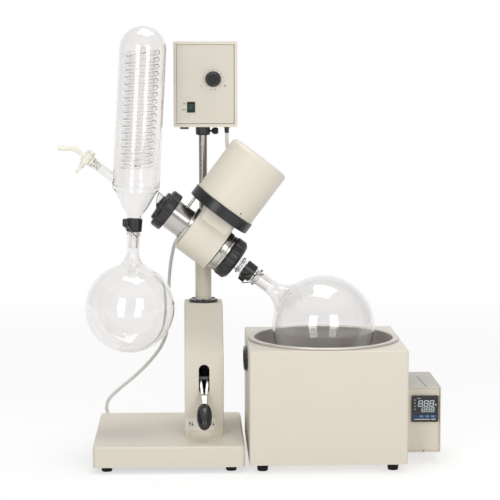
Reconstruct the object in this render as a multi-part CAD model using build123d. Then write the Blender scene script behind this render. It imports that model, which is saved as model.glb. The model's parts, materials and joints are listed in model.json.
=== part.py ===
from build123d import *
from math import acos, atan2, ceil, cos, degrees, hypot, pi, radians, sin, sqrt, tan
import os

# Rotary evaporator: a stand whose mast is raised by a hand lever, a tilting drive
# head that spins a flask in a heated water bath, and a condenser with a receiving
# flask. Millimetres, +X to the right, +Y away from the user, +Z up.
# The model is laid out with the mast's axis at X = Y = 0 and the table at Z = 0.
# At the very end it is moved so that its origin is the middle of its footprint.

# Clearances
running_gap = 0.05       # radial, between a shaft and the hole that it turns in
free_gap = 0.3           # between faces that move past each other
fit_gap = 0.2            # between pieces that are put together and stay still

# Base of the stand
base_length = 269.5
base_depth = 300.0
base_top = 48.0
base_wall = 3.0
base_corner = 8.0
base_edge = 4.0
mast_from_left = 198.0
mast_from_front = 205.0
plate_thickness = 2.0
foot_height = 10.5
foot_radius = 11.0
foot_inset = 24.0

# Column housing, folded from sheet steel
sheet = 2.0
housing_width = 71.0
housing_front = -113.0
housing_back = 33.0
crease_over_shaft = 45.6
top_over_shaft = 127.5
housing_top_front = -27.0
housing_fold = 3.0
flange_radius = 27.0
flange_height = 5.0
slot_width = 19.5
slot_length = 54.3
tab_depth = 8.0          # fixing tabs at the foot of the housing

# Mast and lifting gear
mast_radius = 15.0
mast_wall = 3.0
mast_low = 22.0
lift_travel = 110.0
shaft_height = 151.0
shaft_radius = 5.0
lever_setback = 15.0     # lever shaft behind the housing's front face
gear_module = 1.5
sector_teeth = 56
pinion_teeth = 14
lift_gear_teeth = 24
gear_backlash = 0.22
pressure_angle = radians(20)
addendum = 0.85
dedendum = 1.1
gear_width = 8.0
rack_width = 12.0
rack_back = 13.0         # back of the rack, in front of the mast's axis
bracket_sheet = 3.0
guide_height = 16.0
grip_over_base = 25.5    # from the base up to the tip of the grip's axis
lever_thickness = 8.0
lever_rod_radius = 4.0
lever_hub_radius = 11.0
grip_length = 58.0
grip_radius = 14.8

# Head: gear block, drive motor and tilt joint
head_height = 405.5
head_offset = 68.4       # head's plane in front of the mast's axis
head_slope = 37.0        # spindle below the horizontal, degrees
block_radius = 45.0
block_half = 33.0
chamber_radius = 38.5
chamber_half = 20.0
spindle_radius = 17.5
spindle_bore = 12.5
spindle_left = -58.0
spindle_right = 66.0
bearing_radius = 31.0
bearing_width = 13.0
spigot_radius = 11.0
spigot_pad_radius = 22.0
clamp_radius = 21.0
clamp_back = 24.0
clamp_below = 46.5
clamp_above = 34.5
post_radius = 7.5
motor_offset = -5.0      # motor's axis along the spindle, from the block's middle
boss_depth = 70.0        # squared boss between drum and motor, front to back
boss_corner = 12.0
ring_low = 51.0
ring_high = 72.0
ring_radius = 62.0
cover_radius = 59.0
cover_top = 180.0
cover_wall = 2.0
cover_round = 8.0
stator_radius = 44.0
stator_bore = 26.0
stator_length = 88.0
rotor_gap = 0.6
motor_shaft_radius = 4.0
crown_teeth = 40
crown_module = 1.6
crown_face = 5.0
drive_pinion_teeth = 10
drive_backlash = 0.8

# Left side of the head: collar, nut and seal of the condenser
collar_flange_radius = 38.0
collar_flange = 6.5
collar_radius = 28.0
collar_bore = 20.0
collar_end = -82.0
collar_pin_at = -56.0
collar_pin_radius = 2.5
collar_thread_radius = 25.0
left_nut_radius = 37.5
left_nut_right = -74.0
left_nut_left = -94.0
left_nut_ring = 6.0
left_nut_ring_radius = 28.0
left_nut_grooves = 8
seal_length = 22.0

# Right side of the head: bearing cap, flask nut, vapour tube and flask
cap_radius = 38.0
cap_end = 50.0
right_nut_radius = 39.0
right_nut_end = 75.0
right_nut_grooves = 16
tube_radius = 12.0
tube_neck_radius = 13.5
tube_wall = 2.0
tube_left = -86.0
tube_disc_at = 84.5
tube_disc_radius = 16.2
clip_start = 93.0
clip_length = 20.0
clip_radius = 17.0
cone_end = 150.0
cone_taper = 0.8
glass_wall = 2.2
flask_centre = 275.0
flask_radius = 94.0
flask_neck_radius = 14.0
flask_flare = 40.0
flask_rim_radius = 17.2
flask_rim_at = 122.5

# Condenser and receiving flask, on one axis that leans a little to the right
condenser_at = -153.0    # along the spindle's axis
condenser_lean = 3.2
jacket_radius = 42.5
jacket_top = 291.0
jacket_neck_radius = 14.0
cone_bottom = -54.0
arm_radius = 18.0
arm_flange_radius = 23.5
arm_flange = 5.0
coil_radius = 26.7
coil_tube_radius = 5.0
coil_pitch = 12.6
coil_turns = 17
coil_start = 34.0
port_radius = 6.0
feed_height = 12.0
feed_slope = 38.0
feed_radius = 8.5
feed_length = 54.0
barrel_height = 12.0     # stopcock's barrel beyond the feed port
receiving_clip_start = -57.0
receiving_clip_length = 24.0
receiving_clip_radius = 14.8
receiving_centre = -222.0
receiving_radius = 81.5
receiving_neck_radius = 11.5
receiving_flare = 30.0
receiving_rim_radius = 13.2
receiving_rim_at = -86.5
wire_radius = 0.9
pin_share = 0.35         # place of a bail's pin along its clip
flask_clip_turn = 235.0
receiving_clip_turn = 200.0

# Control box on the post
box_left = -54.0
box_width = 117.4
box_over_head = 199.0
box_height = 156.5
box_front = -23.0
box_depth = 85.0
box_wall = 2.0
box_frame = 5.5          # light frame round the front panel
panel_recess = 1.5
panel_thickness = 2.0
post_collar_radius = 13.3
post_collar_height = 15.5
post_in_box = 85.5
knob_x = 18.8
knob_rise = 87.7
knob_radius = 14.3
knob_height = 15.0
rocker_x = -21.7
rocker_rise = 36.5
rocker_width = 14.6
rocker_height = 19.5
fuse_x = -34.3
fuse_radius = 8.0
gland_x = 44.4
gland_y = 14.0
gland_radius = 5.8
gland_length = 12.0
cord_radius = 3.25

# Mains cord
coil_centre = (-100.0, 145.0)
coil_middle = 39.0       # radius at the middle of the coil's turns
coil_layers = 2
plug_turn = -30.0
plug_length = 36.0
plug_width = 28.0
plug_height = 22.0
relief_length = 26.0

# Water bath
bath_left = 79.3
bath_width = 281.1
bath_front = -209.8
bath_depth = 282.9
bath_low = 13.8
bath_below_head = 187.2
bath_sheet = 1.5
bath_corner = 4.0
pan_radius = 127.0
pan_depth = 140.0
pan_wall = 1.0
pan_rim_radius = 138.5
pan_rim_height = 4.0
heater_radius = 78.0
heater_tube_radius = 4.0
heater_height = 11.0
handle_length = 90.0
handle_height = 44.0
handle_z = 182.0
handle_depth = 8.0

# Controller box on the bath's right side
control_width = 67.6
control_low = 20.0
control_high = 140.0
control_front = -142.0
control_back = 9.0
control_sheet = 1.5
control_recess = 6.0
display_size = 48.0
display_x = 399.0
display_z = 99.8
display_bezel = 5.0
display_body = 44.0
display_body_depth = 60.0
key_width = 6.0
key_height = 3.6
key_travel = 0.8
key_spacing = 10.4
key_first_x = 392.8
key_z = 86.0


def box_between(low, high):
    """A box from its lowest to its highest corner."""
    size = [b - a for a, b in zip(low, high)]
    middle = [(a + b) / 2 for a, b in zip(low, high)]
    return Pos(*middle) * Box(*size)


def turned(*points):
    """A solid turned about Z from (radius, height) points."""
    outline = Polyline(*[(r, 0, z) for r, z in points], close=True)
    return revolve(make_face(outline), Axis.Z)


def rod(start, end, radius):
    """A round rod between two points."""
    start, end = Vector(*start), Vector(*end)
    along = Plane(origin=start, z_dir=end - start)
    length = (end - start).length
    return along * (Pos(0, 0, length / 2) * Cylinder(radius, length))


# Frames of the head: along the spindle, along the motor and along the condenser
slope = radians(head_slope)
lean = radians(condenser_lean)
head_centre = Vector(0, -head_offset, head_height)
spindle_way = Vector(cos(slope), 0, -sin(slope))
motor_way = Vector(sin(slope), 0, cos(slope))
condenser_way = Vector(sin(lean), 0, cos(lean))
spindle_frame = Plane(origin=head_centre, x_dir=(0, 1, 0), z_dir=spindle_way)
motor_origin = head_centre + spindle_way * motor_offset
motor_frame = Plane(origin=motor_origin, x_dir=spindle_way, z_dir=motor_way)
condenser_origin = head_centre + spindle_way * condenser_at
condenser_frame = Plane(origin=condenser_origin, x_dir=(cos(lean), 0, -sin(lean)), z_dir=condenser_way)

# Sizes that follow from the driving ones
base_left = -mast_from_left
base_right = base_left + base_length
base_front = -mast_from_front
base_back = base_front + base_depth
mast_high = head_height - spigot_radius - 6
guide_low = shaft_height + 25
lever_y = housing_front + lever_setback
sector_radius = gear_module * sector_teeth / 2
pinion_radius = gear_module * pinion_teeth / 2
lift_gear_radius = gear_module * lift_gear_teeth / 2
pinion_y = lever_y + sector_radius + pinion_radius
rack_pitch_y = pinion_y + lift_gear_radius
lever_ratio = pinion_teeth / sector_teeth
pinion_swing = degrees(lift_travel / lift_gear_radius)
lever_swing = pinion_swing * lever_ratio
housing_crease = shaft_height + crease_over_shaft
housing_top = shaft_height + top_over_shaft
lever_droop = radians(lever_swing / 2)
lever_length = (shaft_height - base_top - grip_over_base) / sin(lever_droop) - grip_length / 2
clamp_low = head_height - clamp_below
clamp_high = head_height + clamp_above
box_low = head_height + box_over_head
post_top = box_low + post_in_box
knob_z = box_low + knob_rise
rocker_z = box_low + rocker_rise
bath_top = head_height - bath_below_head
bath_x = bath_left + bath_width / 2
bath_y = bath_front + bath_depth / 2
bath_right = bath_left + bath_width

# Mains cord: its route by hand from the gland to the coil behind the base
cord_route = [
    (gland_x, gland_y, box_low - gland_length), (44.4, 14, 567), (51, 25, 532), (49, 44, 487),
    (22, 56, 446), (-20, 60, 424), (-51, 62, 394), (-62, 66, 346), (-66, 75, 294), (-66, 85, 240),
    (-71, 95, 194), (-94, 111, 155), (-131, 132, 114), (-168, 150, 82), (-191, 163, 57),
    (-191, 174, 28), (-170, 182, 9), (-143.3, 187.25, 3.3), (-116.3, 187.25, 3.3)]


def gear_tooth(teeth, module, backlash, middle):
    """Points of one involute tooth about the angle middle, in order of angle."""
    pitch = teeth * module / 2
    base = pitch * cos(pressure_angle)
    tip = pitch + addendum * module
    root = pitch - dedendum * module
    half = pi / (2 * teeth) - backlash / (2 * pitch)
    involute = tan(pressure_angle) - pressure_angle
    start = max(root, base)
    flank = []
    for radius in (root, start + (tip - start) * 0.12, start + (tip - start) * 0.55, tip):
        turn = acos(min(1, base / radius))
        flank.append((radius, half + involute - (tan(turn) - turn)))
    rising = [(radius, middle - angle) for radius, angle in flank]
    falling = [(radius, middle + angle) for radius, angle in reversed(flank)]
    return [(r * cos(a), r * sin(a)) for r, a in rising + falling]


def gear(teeth, module, width, backlash, first=0.0):
    """A spur gear about Z with a tooth at the angle first."""
    points = []
    for number in range(teeth):
        points += gear_tooth(teeth, module, backlash, first + 2 * pi * number / teeth)
    return extrude(make_face(Polyline(*points, close=True)), width / 2, both=True)


def base_shell():
    """Pressed base, open below, with four bosses that carry the bottom plate."""
    shell = box_between((base_left, base_front, foot_height), (base_right, base_back, base_top))
    shell = fillet(shell.edges().filter_by(Axis.Z), base_corner)
    shell = fillet(shell.faces().sort_by(Axis.Z)[-1].edges(), base_edge)
    inside = box_between((base_left + base_wall, base_front + base_wall, 0),
                         (base_right - base_wall, base_back - base_wall, base_top - base_wall))
    shell -= fillet(inside.edges().filter_by(Axis.Z), base_corner - base_wall)
    boss_low = foot_height + plate_thickness
    boss_height = base_top - base_wall - boss_low
    for x, y in foot_places():
        shell += Pos(x, y, boss_low + boss_height / 2) * Cylinder(foot_radius - 3, boss_height)
    opening = Cylinder(mast_radius + 1.5, 3 * base_wall)
    rack_opening = box_between((-rack_width / 2 - 1.5, rack_pitch_y - 4, -base_wall * 1.5),
                               (rack_width / 2 + 1.5, 0, base_wall * 1.5))
    return shell - Pos(0, 0, base_top) * (opening + rack_opening)


def foot_places():
    """Middles of the stand's four feet."""
    return [(x, y) for x in (base_left + foot_inset, base_right - foot_inset)
            for y in (base_front + foot_inset, base_back - foot_inset)]


def base_plate():
    """Bottom plate that closes the base inside its rim."""
    inset = base_wall + fit_gap
    plate = box_between((base_left + inset, base_front + inset, foot_height),
                        (base_right - inset, base_back - inset, foot_height + plate_thickness))
    return fillet(plate.edges().filter_by(Axis.Z), base_corner - base_wall)


def rubber_foot(x, y, height):
    """A tapered rubber foot with its top at the given height."""
    return Pos(x, y, 0) * turned((0, 0), (foot_radius - 2, 0), (foot_radius, height), (0, height))


def rubber_feet():
    """Four feet under the stand and four under the bath."""
    feet = [rubber_foot(x, y, foot_height) for x, y in foot_places()]
    for x in (bath_left + foot_inset, bath_right - foot_inset):
        for y in (bath_front + foot_inset, bath_front + bath_depth - foot_inset):
            feet.append(rubber_foot(x, y, bath_low))
    return feet


def housing_outline(inset, low):
    """Side view of the column housing, moved in by the sheet's thickness."""
    run = housing_top_front - housing_front
    rise = housing_top - housing_crease
    length = hypot(run, rise)
    crease = housing_crease + inset * (rise - length) / run
    top_front = housing_top_front + inset * (length - run) / rise
    points = [(housing_front + inset, low), (housing_front + inset, crease),
              (top_front, housing_top - inset), (housing_back - inset, housing_top - inset),
              (housing_back - inset, low)]
    return make_face(Polyline(*[(0, y, z) for y, z in points], close=True))


def column_housing():
    """Folded steel housing with the lever's slot and two fixing tabs inside."""
    shell = extrude(housing_outline(0, base_top), housing_width / 2, both=True)
    shell = fillet(shell.edges().filter_by(Axis.X).group_by(Axis.Z)[-1], housing_fold)
    upright = shell.edges().filter_by(Axis.Z)
    shell = fillet(upright, housing_fold)
    shell -= extrude(housing_outline(sheet, base_top - sheet), housing_width / 2 - sheet, both=True)
    slot = Plane(origin=(0, housing_front, shaft_height), x_dir=(0, 0, 1), z_dir=(0, -1, 0))
    shell -= extrude(slot * SlotOverall(slot_length, slot_width), 2 * sheet, both=True)
    shell -= Pos(0, 0, housing_top) * Cylinder(mast_radius + 1, 3 * sheet)
    for side in (-1, 1):
        wall = side * (housing_width / 2 - sheet)
        inner = wall - side * (housing_width / 2 - sheet - mast_radius - 4)
        shell += box_between((min(wall, inner), housing_back - sheet - tab_depth, base_top),
                             (max(wall, inner), housing_back - sheet, base_top + sheet))
    return shell


def column_flange():
    """Black flange round the mast on top of the housing, with three screw heads."""
    bore = mast_radius + free_gap
    high = housing_top + flange_height
    flange = turned((bore, housing_top), (flange_radius, housing_top), (flange_radius, high - 1.5),
                    (flange_radius - 1.5, high), (bore, high))
    heads = PolarLocations((flange_radius + bore) / 2, 3, 30) * Cylinder(2.6, 2)
    return [flange] + [Pos(0, 0, high + 1) * head for head in heads]


def lift_frame():
    """Welded frame inside the housing: two side plates, a foot strap and two mast guides."""
    half = housing_width / 2 - sheet - 3
    front, back = lever_y - 9, housing_back - sheet - tab_depth - free_gap
    top = guide_low + guide_height
    frame = None
    for side in (-1, 1):
        inner, outer = sorted((side * half, side * (half - bracket_sheet)))
        plate = box_between((inner, front, base_top), (outer, back, top))
        corner = box_between((inner, front - 1, shaft_height + 12), (outer, pinion_y - 12, top + 1))
        plate -= corner
        frame = plate if frame is None else frame + plate
    frame += box_between((-half, front + 8, base_top), (half, front + 38, base_top + bracket_sheet))
    guide = box_between((-half, rack_pitch_y - 4, guide_low), (half, back, top))
    upper_low = housing_top - sheet - 9 - guide_height
    upper = box_between((-half, rack_pitch_y - 4, upper_low), (half, back, upper_low + guide_height))
    web = box_between((-half, back - bracket_sheet, top), (half, back, upper_low))
    frame += guide + upper + web
    frame -= Pos(0, 0, housing_top / 2) * Cylinder(mast_radius + running_gap, housing_top)
    frame -= box_between((-rack_width / 2 - free_gap, rack_pitch_y - 5, guide_low - 1),
                         (rack_width / 2 + free_gap, 0, housing_top))
    hole = shaft_radius + running_gap
    for y in (lever_y, pinion_y):
        frame -= Pos(0, y, shaft_height) * Rot(0, 90, 0) * Cylinder(hole, housing_width)
    return frame


def mast_tube():
    """Painted mast tube with a flat for the rack and a plug for the clamp above."""
    length = mast_high - mast_low
    bore = Pos(0, 0, -mast_wall) * Cylinder(mast_radius - mast_wall, length)
    tube = Pos(0, 0, mast_low + length / 2) * (Cylinder(mast_radius, length) - bore)
    low, high = rack_ends()
    return tube - box_between((-mast_radius, -mast_radius - 1, low), (mast_radius, -rack_back, high))


def rack_ends():
    """Lowest and highest point of the rack, with the mast down."""
    return mast_low + 3, shaft_height + gear_module * 4


def lift_rack():
    """Steel rack let into the front of the mast."""
    low, high = rack_ends()
    pitch = pi * gear_module
    root = rack_pitch_y + dedendum * gear_module
    tip = rack_pitch_y - addendum * gear_module
    half_root = (pitch / 2 - gear_backlash) / 2 + dedendum * gear_module * tan(pressure_angle)
    half_tip = (pitch / 2 - gear_backlash) / 2 - addendum * gear_module * tan(pressure_angle)
    gap_at = shaft_height - lift_travel / 2
    first = ceil((low + half_root - gap_at) / pitch - 0.5)
    points = [(0, -rack_back, low), (0, root, low)]
    number = first
    while gap_at + (number + 0.5) * pitch + half_root < high:
        z = gap_at + (number + 0.5) * pitch
        points += [(0, root, z - half_root), (0, tip, z - half_tip),
                   (0, tip, z + half_tip), (0, root, z + half_root)]
        number += 1
    points += [(0, root, high), (0, -rack_back, high)]
    return extrude(make_face(Polyline(*points, close=True)), rack_width / 2, both=True)


def lever_place(part):
    """Turns a lever piece, drawn with its handle along -Y, to where it rests."""
    return Pos(0, lever_y, shaft_height) * Rot(lever_swing / 2, 0, 0) * part


def lift_lever():
    """Forked steel lever on its cross shaft."""
    width = slot_width / 2 - 2.8
    fork_end = -lever_length * 0.5
    rod_end = -lever_length - grip_length * 0.2
    arm = Polyline((-width, 0), (-width, -lever_hub_radius), (-lever_rod_radius, fork_end),
                   (lever_rod_radius, fork_end), (width, -lever_hub_radius), (width, 0),
                   (width - 3.2, 0), (width - 3.2, -lever_hub_radius), (0, fork_end + 7),
                   (-width + 3.2, -lever_hub_radius), (-width + 3.2, 0), close=True)
    fork = extrude(make_face(arm), lever_thickness / 2, both=True)
    hub = Rot(0, 90, 0) * Cylinder(lever_hub_radius, 2 * width)
    shaft_half = housing_width / 2 - sheet - 3
    shaft = Rot(0, 90, 0) * Cylinder(shaft_radius, 2 * shaft_half)
    handle = rod((0, fork_end + 2, 0), (0, rod_end, 0), lever_rod_radius)
    lever = fork + hub + handle
    return lever_place(lever + shaft)


def lever_grip():
    """Egg-shaped grip on the lever's end."""
    half = grip_length / 2
    outline = Spline((0, -half), (grip_radius, -half * 0.12), (0, half),
                     tangents=[(1, 0), (-1, 0)], tangent_scalars=[1.6, 1.3])
    outline = outline + Line((0, half), (0, -half))
    egg = revolve(Plane.XZ * make_face(outline), Axis.Z)
    egg = Pos(0, -lever_length, 0) * Rot(90, 0, 0) * egg
    hole_end = -lever_length - grip_length * 0.2
    egg -= rod((0, 0, 0), (0, hole_end, 0), lever_rod_radius)
    return lever_place(egg)


def lever_sector():
    """Toothed sector that turns with the lever, its teeth at the back."""
    reach = lever_swing / 2 + 6
    pitch = 2 * pi / sector_teeth
    count = int(radians(reach) / pitch)
    points = []
    for number in range(-count, count + 1):
        points += gear_tooth(sector_teeth, gear_module, gear_backlash, number * pitch)
    hub_radius = shaft_radius + 8
    side = radians(reach + 50)
    points += [(hub_radius * cos(side), hub_radius * sin(side)), (-hub_radius, 0),
               (hub_radius * cos(side), -hub_radius * sin(side))]
    sector = extrude(make_face(Polyline(*points, close=True)), gear_width / 2, both=True)
    for angle in (-28, 0, 28):
        sector -= Rot(0, 0, angle) * Pos(sector_radius * 0.6, 0, 0) * Cylinder(6.5, gear_width + 1)
    sector -= Cylinder(shaft_radius, gear_width + 1)
    across = Plane(origin=(sector_x(), 0, 0), x_dir=(0, 1, 0), z_dir=(1, 0, 0))
    return lever_place(across * sector)


def sector_x():
    """Middle of the sector and its pinion, left of the lever."""
    return -(slot_width / 2 + 2 + gear_width / 2)


def lift_pinion():
    """Small pinion and lifting gear on one cross shaft."""
    half_tooth = pi / pinion_teeth
    small = gear(pinion_teeth, gear_module, gear_width, gear_backlash, pi + half_tooth)
    large = gear(lift_gear_teeth, gear_module, rack_width - 2, gear_backlash)
    across = Plane(origin=(0, 0, 0), x_dir=(0, 1, 0), z_dir=(1, 0, 0))
    shaft = Cylinder(shaft_radius, housing_width - 2 * sheet - 6)
    spacer = Pos(0, 0, sector_x() / 2) * Cylinder(shaft_radius + 2, -sector_x())
    wheel = shaft + large + Pos(0, 0, sector_x()) * small + spacer
    return Pos(0, pinion_y, shaft_height) * Rot(-pinion_swing / 2, 0, 0) * (across * wheel)


def head_clamp():
    """Cast clamp on the mast: mast socket, bearing for the tilt spigot, post socket."""
    body = Pos(0, 0, (clamp_low + clamp_high) / 2) * Cylinder(clamp_radius, clamp_high - clamp_low)
    body = chamfer(body.edges(), 2)
    pad_front = -head_offset + block_radius + 0.2 + free_gap
    boss_length = clamp_back - pad_front
    cross = Pos(0, (pad_front + clamp_back) / 2, head_height) * Rot(90, 0, 0)
    body += cross * Cylinder(spigot_pad_radius, boss_length)
    body -= cross * Cylinder(spigot_radius + running_gap, boss_length + 1)
    body -= Pos(0, 0, (clamp_low + mast_high) / 2) * Cylinder(mast_radius, mast_high - clamp_low)
    post_low = head_height + spigot_radius + 6
    socket_high = clamp_high + 1
    return body - Pos(0, 0, (post_low + socket_high) / 2) * Cylinder(post_radius, socket_high - post_low)


def support_post():
    """Bright steel post from the clamp up into the control box."""
    low = head_height + spigot_radius + 6
    return Pos(0, 0, (low + post_top) / 2) * Cylinder(post_radius, post_top - low)


def post_collar():
    """Black collar under the control box, with the thread for its thumb screw."""
    low = box_low - post_collar_height
    collar = turned((post_radius, low), (post_collar_radius - 1.5, low), (post_collar_radius, low + 3),
                    (post_collar_radius, box_low), (post_radius, box_low))
    hole = rod((0, 0, thumb_z()), (post_collar_radius + 1, 0, thumb_z()), 2.0 + running_gap)
    return collar - hole


def thumb_z():
    """Height of the collar's thumb screw."""
    return box_low - post_collar_height / 2


def collar_screw():
    """Thumb screw with a round black head, on the collar's right."""
    start = post_radius + 0.3
    head = post_collar_radius + 3.2
    screw = rod((start, 0, thumb_z()), (head + 1, 0, thumb_z()), 2.0)
    knob = turned((0, 0), (3.5, 0), (6.4, 3), (6.4, 9), (4.5, 12), (0, 12))
    for place in PolarLocations(7.6, 8):
        knob -= place * Pos(0, 0, 6) * Cylinder(1.9, 14)
    return screw + Plane(origin=(head, 0, thumb_z()), z_dir=(1, 0, 0)) * knob


def control_box_shell():
    """Sheet steel box, open at the front, with a light frame round the panel."""
    high = box_low + box_height
    right = box_left + box_width
    back = box_front + box_depth
    shell = box_between((box_left, box_front, box_low), (right, back, high))
    shell = fillet(shell.edges().filter_by(Axis.Y), 3)
    opening = box_between((box_left + box_frame, box_front - 1, box_low + box_frame),
                          (right - box_frame, box_front + 20, high - box_frame))
    behind_panel = box_front + panel_recess + panel_thickness
    inside = box_between((box_left + box_wall, behind_panel, box_low + box_wall),
                         (right - box_wall, back - box_wall, high - box_wall))
    shell -= opening + inside
    shell -= Pos(0, 0, box_low) * Cylinder(post_radius + fit_gap, 3 * box_wall)
    shell -= Pos(gland_x, gland_y, box_low) * Cylinder(3.6, 3 * box_wall)
    shell -= Pos(fuse_x, gland_y, box_low) * Cylinder(5.6, 3 * box_wall)
    clip = box_between((post_radius + 0.01, -6, post_top - 34),
                       (post_radius + 3, back - box_wall, post_top - 6))
    return shell + clip


def control_front_panel():
    """Recessed front panel with the knob's hole and the rocker's cut-out."""
    right = box_left + box_width
    front = box_front + panel_recess
    inset = box_frame + fit_gap
    panel = box_between((box_left + inset, front, box_low + inset),
                        (right - inset, front + panel_thickness, box_low + box_height - inset))
    panel -= rod((knob_x, front - 1, knob_z), (knob_x, front + 9, knob_z), 3 + running_gap)
    half_x, half_z = rocker_width / 2 - 1, rocker_height / 2 - 1
    panel -= box_between((rocker_x - half_x, front - 1, rocker_z - half_z),
                         (rocker_x + half_x, front + 9, rocker_z + half_z))
    return [panel, speed_control()]


def speed_control():
    """Potentiometer behind the panel, with the bush that carries the knob's shaft."""
    back = box_front + panel_recess + panel_thickness
    body = rod((knob_x, back, knob_z), (knob_x, back + 11, knob_z), 11)
    body -= rod((knob_x, back - 1, knob_z), (knob_x, back + 7, knob_z), 3 + running_gap)
    board = box_between((knob_x - 10, back + 11, knob_z - 28), (knob_x + 30, back + 12.6, knob_z + 28))
    return body + board


def speed_knob():
    """Fluted black knob on its shaft."""
    front = box_front + panel_recess
    face = Plane(origin=(knob_x, front - 0.5, knob_z), z_dir=(0, -1, 0))
    knob = turned((0, 0), (knob_radius, 0), (knob_radius, 2.5), (knob_radius - 2.4, 3.2),
                  (knob_radius - 3, knob_height - 1), (knob_radius - 4, knob_height), (0, knob_height))
    for place in PolarLocations(knob_radius - 1.6, 12):
        knob -= place * Pos(0, 0, 3.2 + knob_height / 2) * Cylinder(1.4, knob_height)
    shaft = rod((knob_x, front, knob_z), (knob_x, front + panel_thickness + 6.5, knob_z), 3)
    return face * knob + rod((knob_x, front - 1, knob_z), (knob_x, front + 1, knob_z), 3) + shaft


def rocker_frame():
    """Black frame and body of the power switch."""
    front = box_front + panel_recess
    half_x, half_z = rocker_width / 2, rocker_height / 2
    frame = box_between((rocker_x - half_x, front - 1.5, rocker_z - half_z),
                        (rocker_x + half_x, front, rocker_z + half_z))
    body = box_between((rocker_x - half_x + 1.2, front, rocker_z - half_z + 1.2),
                       (rocker_x + half_x - 1.2, front + 22, rocker_z + half_z - 1.2))
    well = box_between((rocker_x - half_x + 2, front - 2, rocker_z - half_z + 2),
                       (rocker_x + half_x - 2, front + 9, rocker_z + half_z - 2))
    reach = half_x - 1.6
    axle = rod((rocker_x - reach, front + 2, rocker_z), (rocker_x + reach, front + 2, rocker_z), 1)
    return frame + body - well - axle


def power_rocker():
    """Green rocker: a shallow V seen from the side, on two stub pins."""
    front = box_front + panel_recess
    half = rocker_height / 2 - 2 - 0.6
    swing = radians(9)
    face = 2.2
    outline = Polyline((0, face * 0.7), (-half * cos(swing), face + half * sin(swing)),
                       (-half * cos(swing) + 0.6, -1.5), (0, -3.2), (half * cos(swing) - 0.6, -1.5),
                       (half * cos(swing), face + half * sin(swing)), close=True)
    side = Plane(origin=(rocker_x, front + 2, rocker_z), x_dir=(0, 0, 1), z_dir=(1, 0, 0))
    rocker = extrude(side * make_face(outline), rocker_width / 2 - 2 - 0.4, both=True)
    pivot = Pos(rocker_x, front + 2, rocker_z)
    turn = pivot * Rot(degrees(swing), 0, 0) * pivot.inverse()
    pins = rod((rocker_x - rocker_width / 2 + 1.7, front + 2, rocker_z),
               (rocker_x + rocker_width / 2 - 1.7, front + 2, rocker_z), 1 - running_gap)
    return turn * (rocker + pins)


def fuse_holder():
    """Screw-in fuse holder under the box."""
    body = turned((0, -5), (fuse_radius, -5), (fuse_radius, -1), (fuse_radius - 1, 0), (5.4, 0),
                  (5.4, 16), (0, 16))
    return Pos(fuse_x, gland_y, box_low) * body


def cord_gland():
    """Tapered strain relief where the mains cord leaves the box."""
    gland = turned((0, -gland_length), (cord_radius + 0.8, -gland_length), (gland_radius - 1.4, -2.5),
                   (gland_radius, -2.5), (gland_radius, 0), (3.5, 0), (3.5, box_wall + 2), (0, box_wall + 2))
    return Pos(gland_x, gland_y, box_low) * gland


def cord_path():
    """The mains cord's route: straight runs joined by the largest tangent arcs that fit."""
    points = [Vector(*point) for point in cord_route]
    radii = []
    for before, here, after in zip(points, points[1:], points[2:]):
        first, second = here - before, after - here
        turn = radians(first.get_angle(second))
        radii.append(0.45 * min(first.length, second.length) / tan(turn / 2))
    print("cord radii", [round(radius) for radius in radii])
    print("cord runs", [round((b - a).length) for a, b in zip(points, points[1:])])
    return FilletPolyline(*points, radius=radii)


def mains_cord():
    """The stretch of the mains cord that isn't coiled."""
    path = cord_path()
    section = Plane(origin=path @ 0, z_dir=path % 0) * Circle(cord_radius)
    tube = sweep(section, path=path)
    expected = path.length * pi * cord_radius ** 2
    print("cord tube", round(path.length), "volume", round(tube.volume), "expected", round(expected))
    return tube


def mains_cord_coil():
    """Outer shape of the put-away coil behind the base."""
    width = coil_layers * cord_radius
    inner, outer = coil_middle - width, coil_middle + width
    ring = turned((inner, 0), (outer, 0), (outer, 2 * width), (inner, 2 * width))
    return Pos(*coil_centre, 0) * ring


def mains_plug():
    """Moulded three-pin plug lying beside the coil, with its strain relief."""
    turn = radians(plug_turn)
    way = Vector(cos(turn), sin(turn), 0)
    side = Vector(-sin(turn), cos(turn), 0)
    outer = coil_middle + coil_layers * cord_radius
    reach = sqrt(outer ** 2 - coil_middle ** 2)
    start = Vector(*coil_centre, 0) + side * coil_middle + way * reach
    frame = Plane(origin=start + Vector(0, 0, plug_height / 2), x_dir=Vector(0, 0, 1), z_dir=way)
    relief = turned((0, 0), (cord_radius, 0), (cord_radius, 3), (cord_radius + 3.5, relief_length),
                    (0, relief_length))
    body = Pos(0, 0, relief_length + plug_length / 2) * Box(plug_height, plug_width, plug_length)
    body = fillet(body.edges().filter_by(Axis.Z), plug_height * 0.3)
    plug = relief + body
    for place in (Pos(0, 7, 0), Pos(0, -7, 0)):
        plug += place * Pos(2.5, 0, relief_length + plug_length + 8) * Box(6, 1.6, 16)
    plug += Pos(-5, 0, relief_length + plug_length + 9) * Box(6, 1.6, 18)
    return frame * plug


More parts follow.
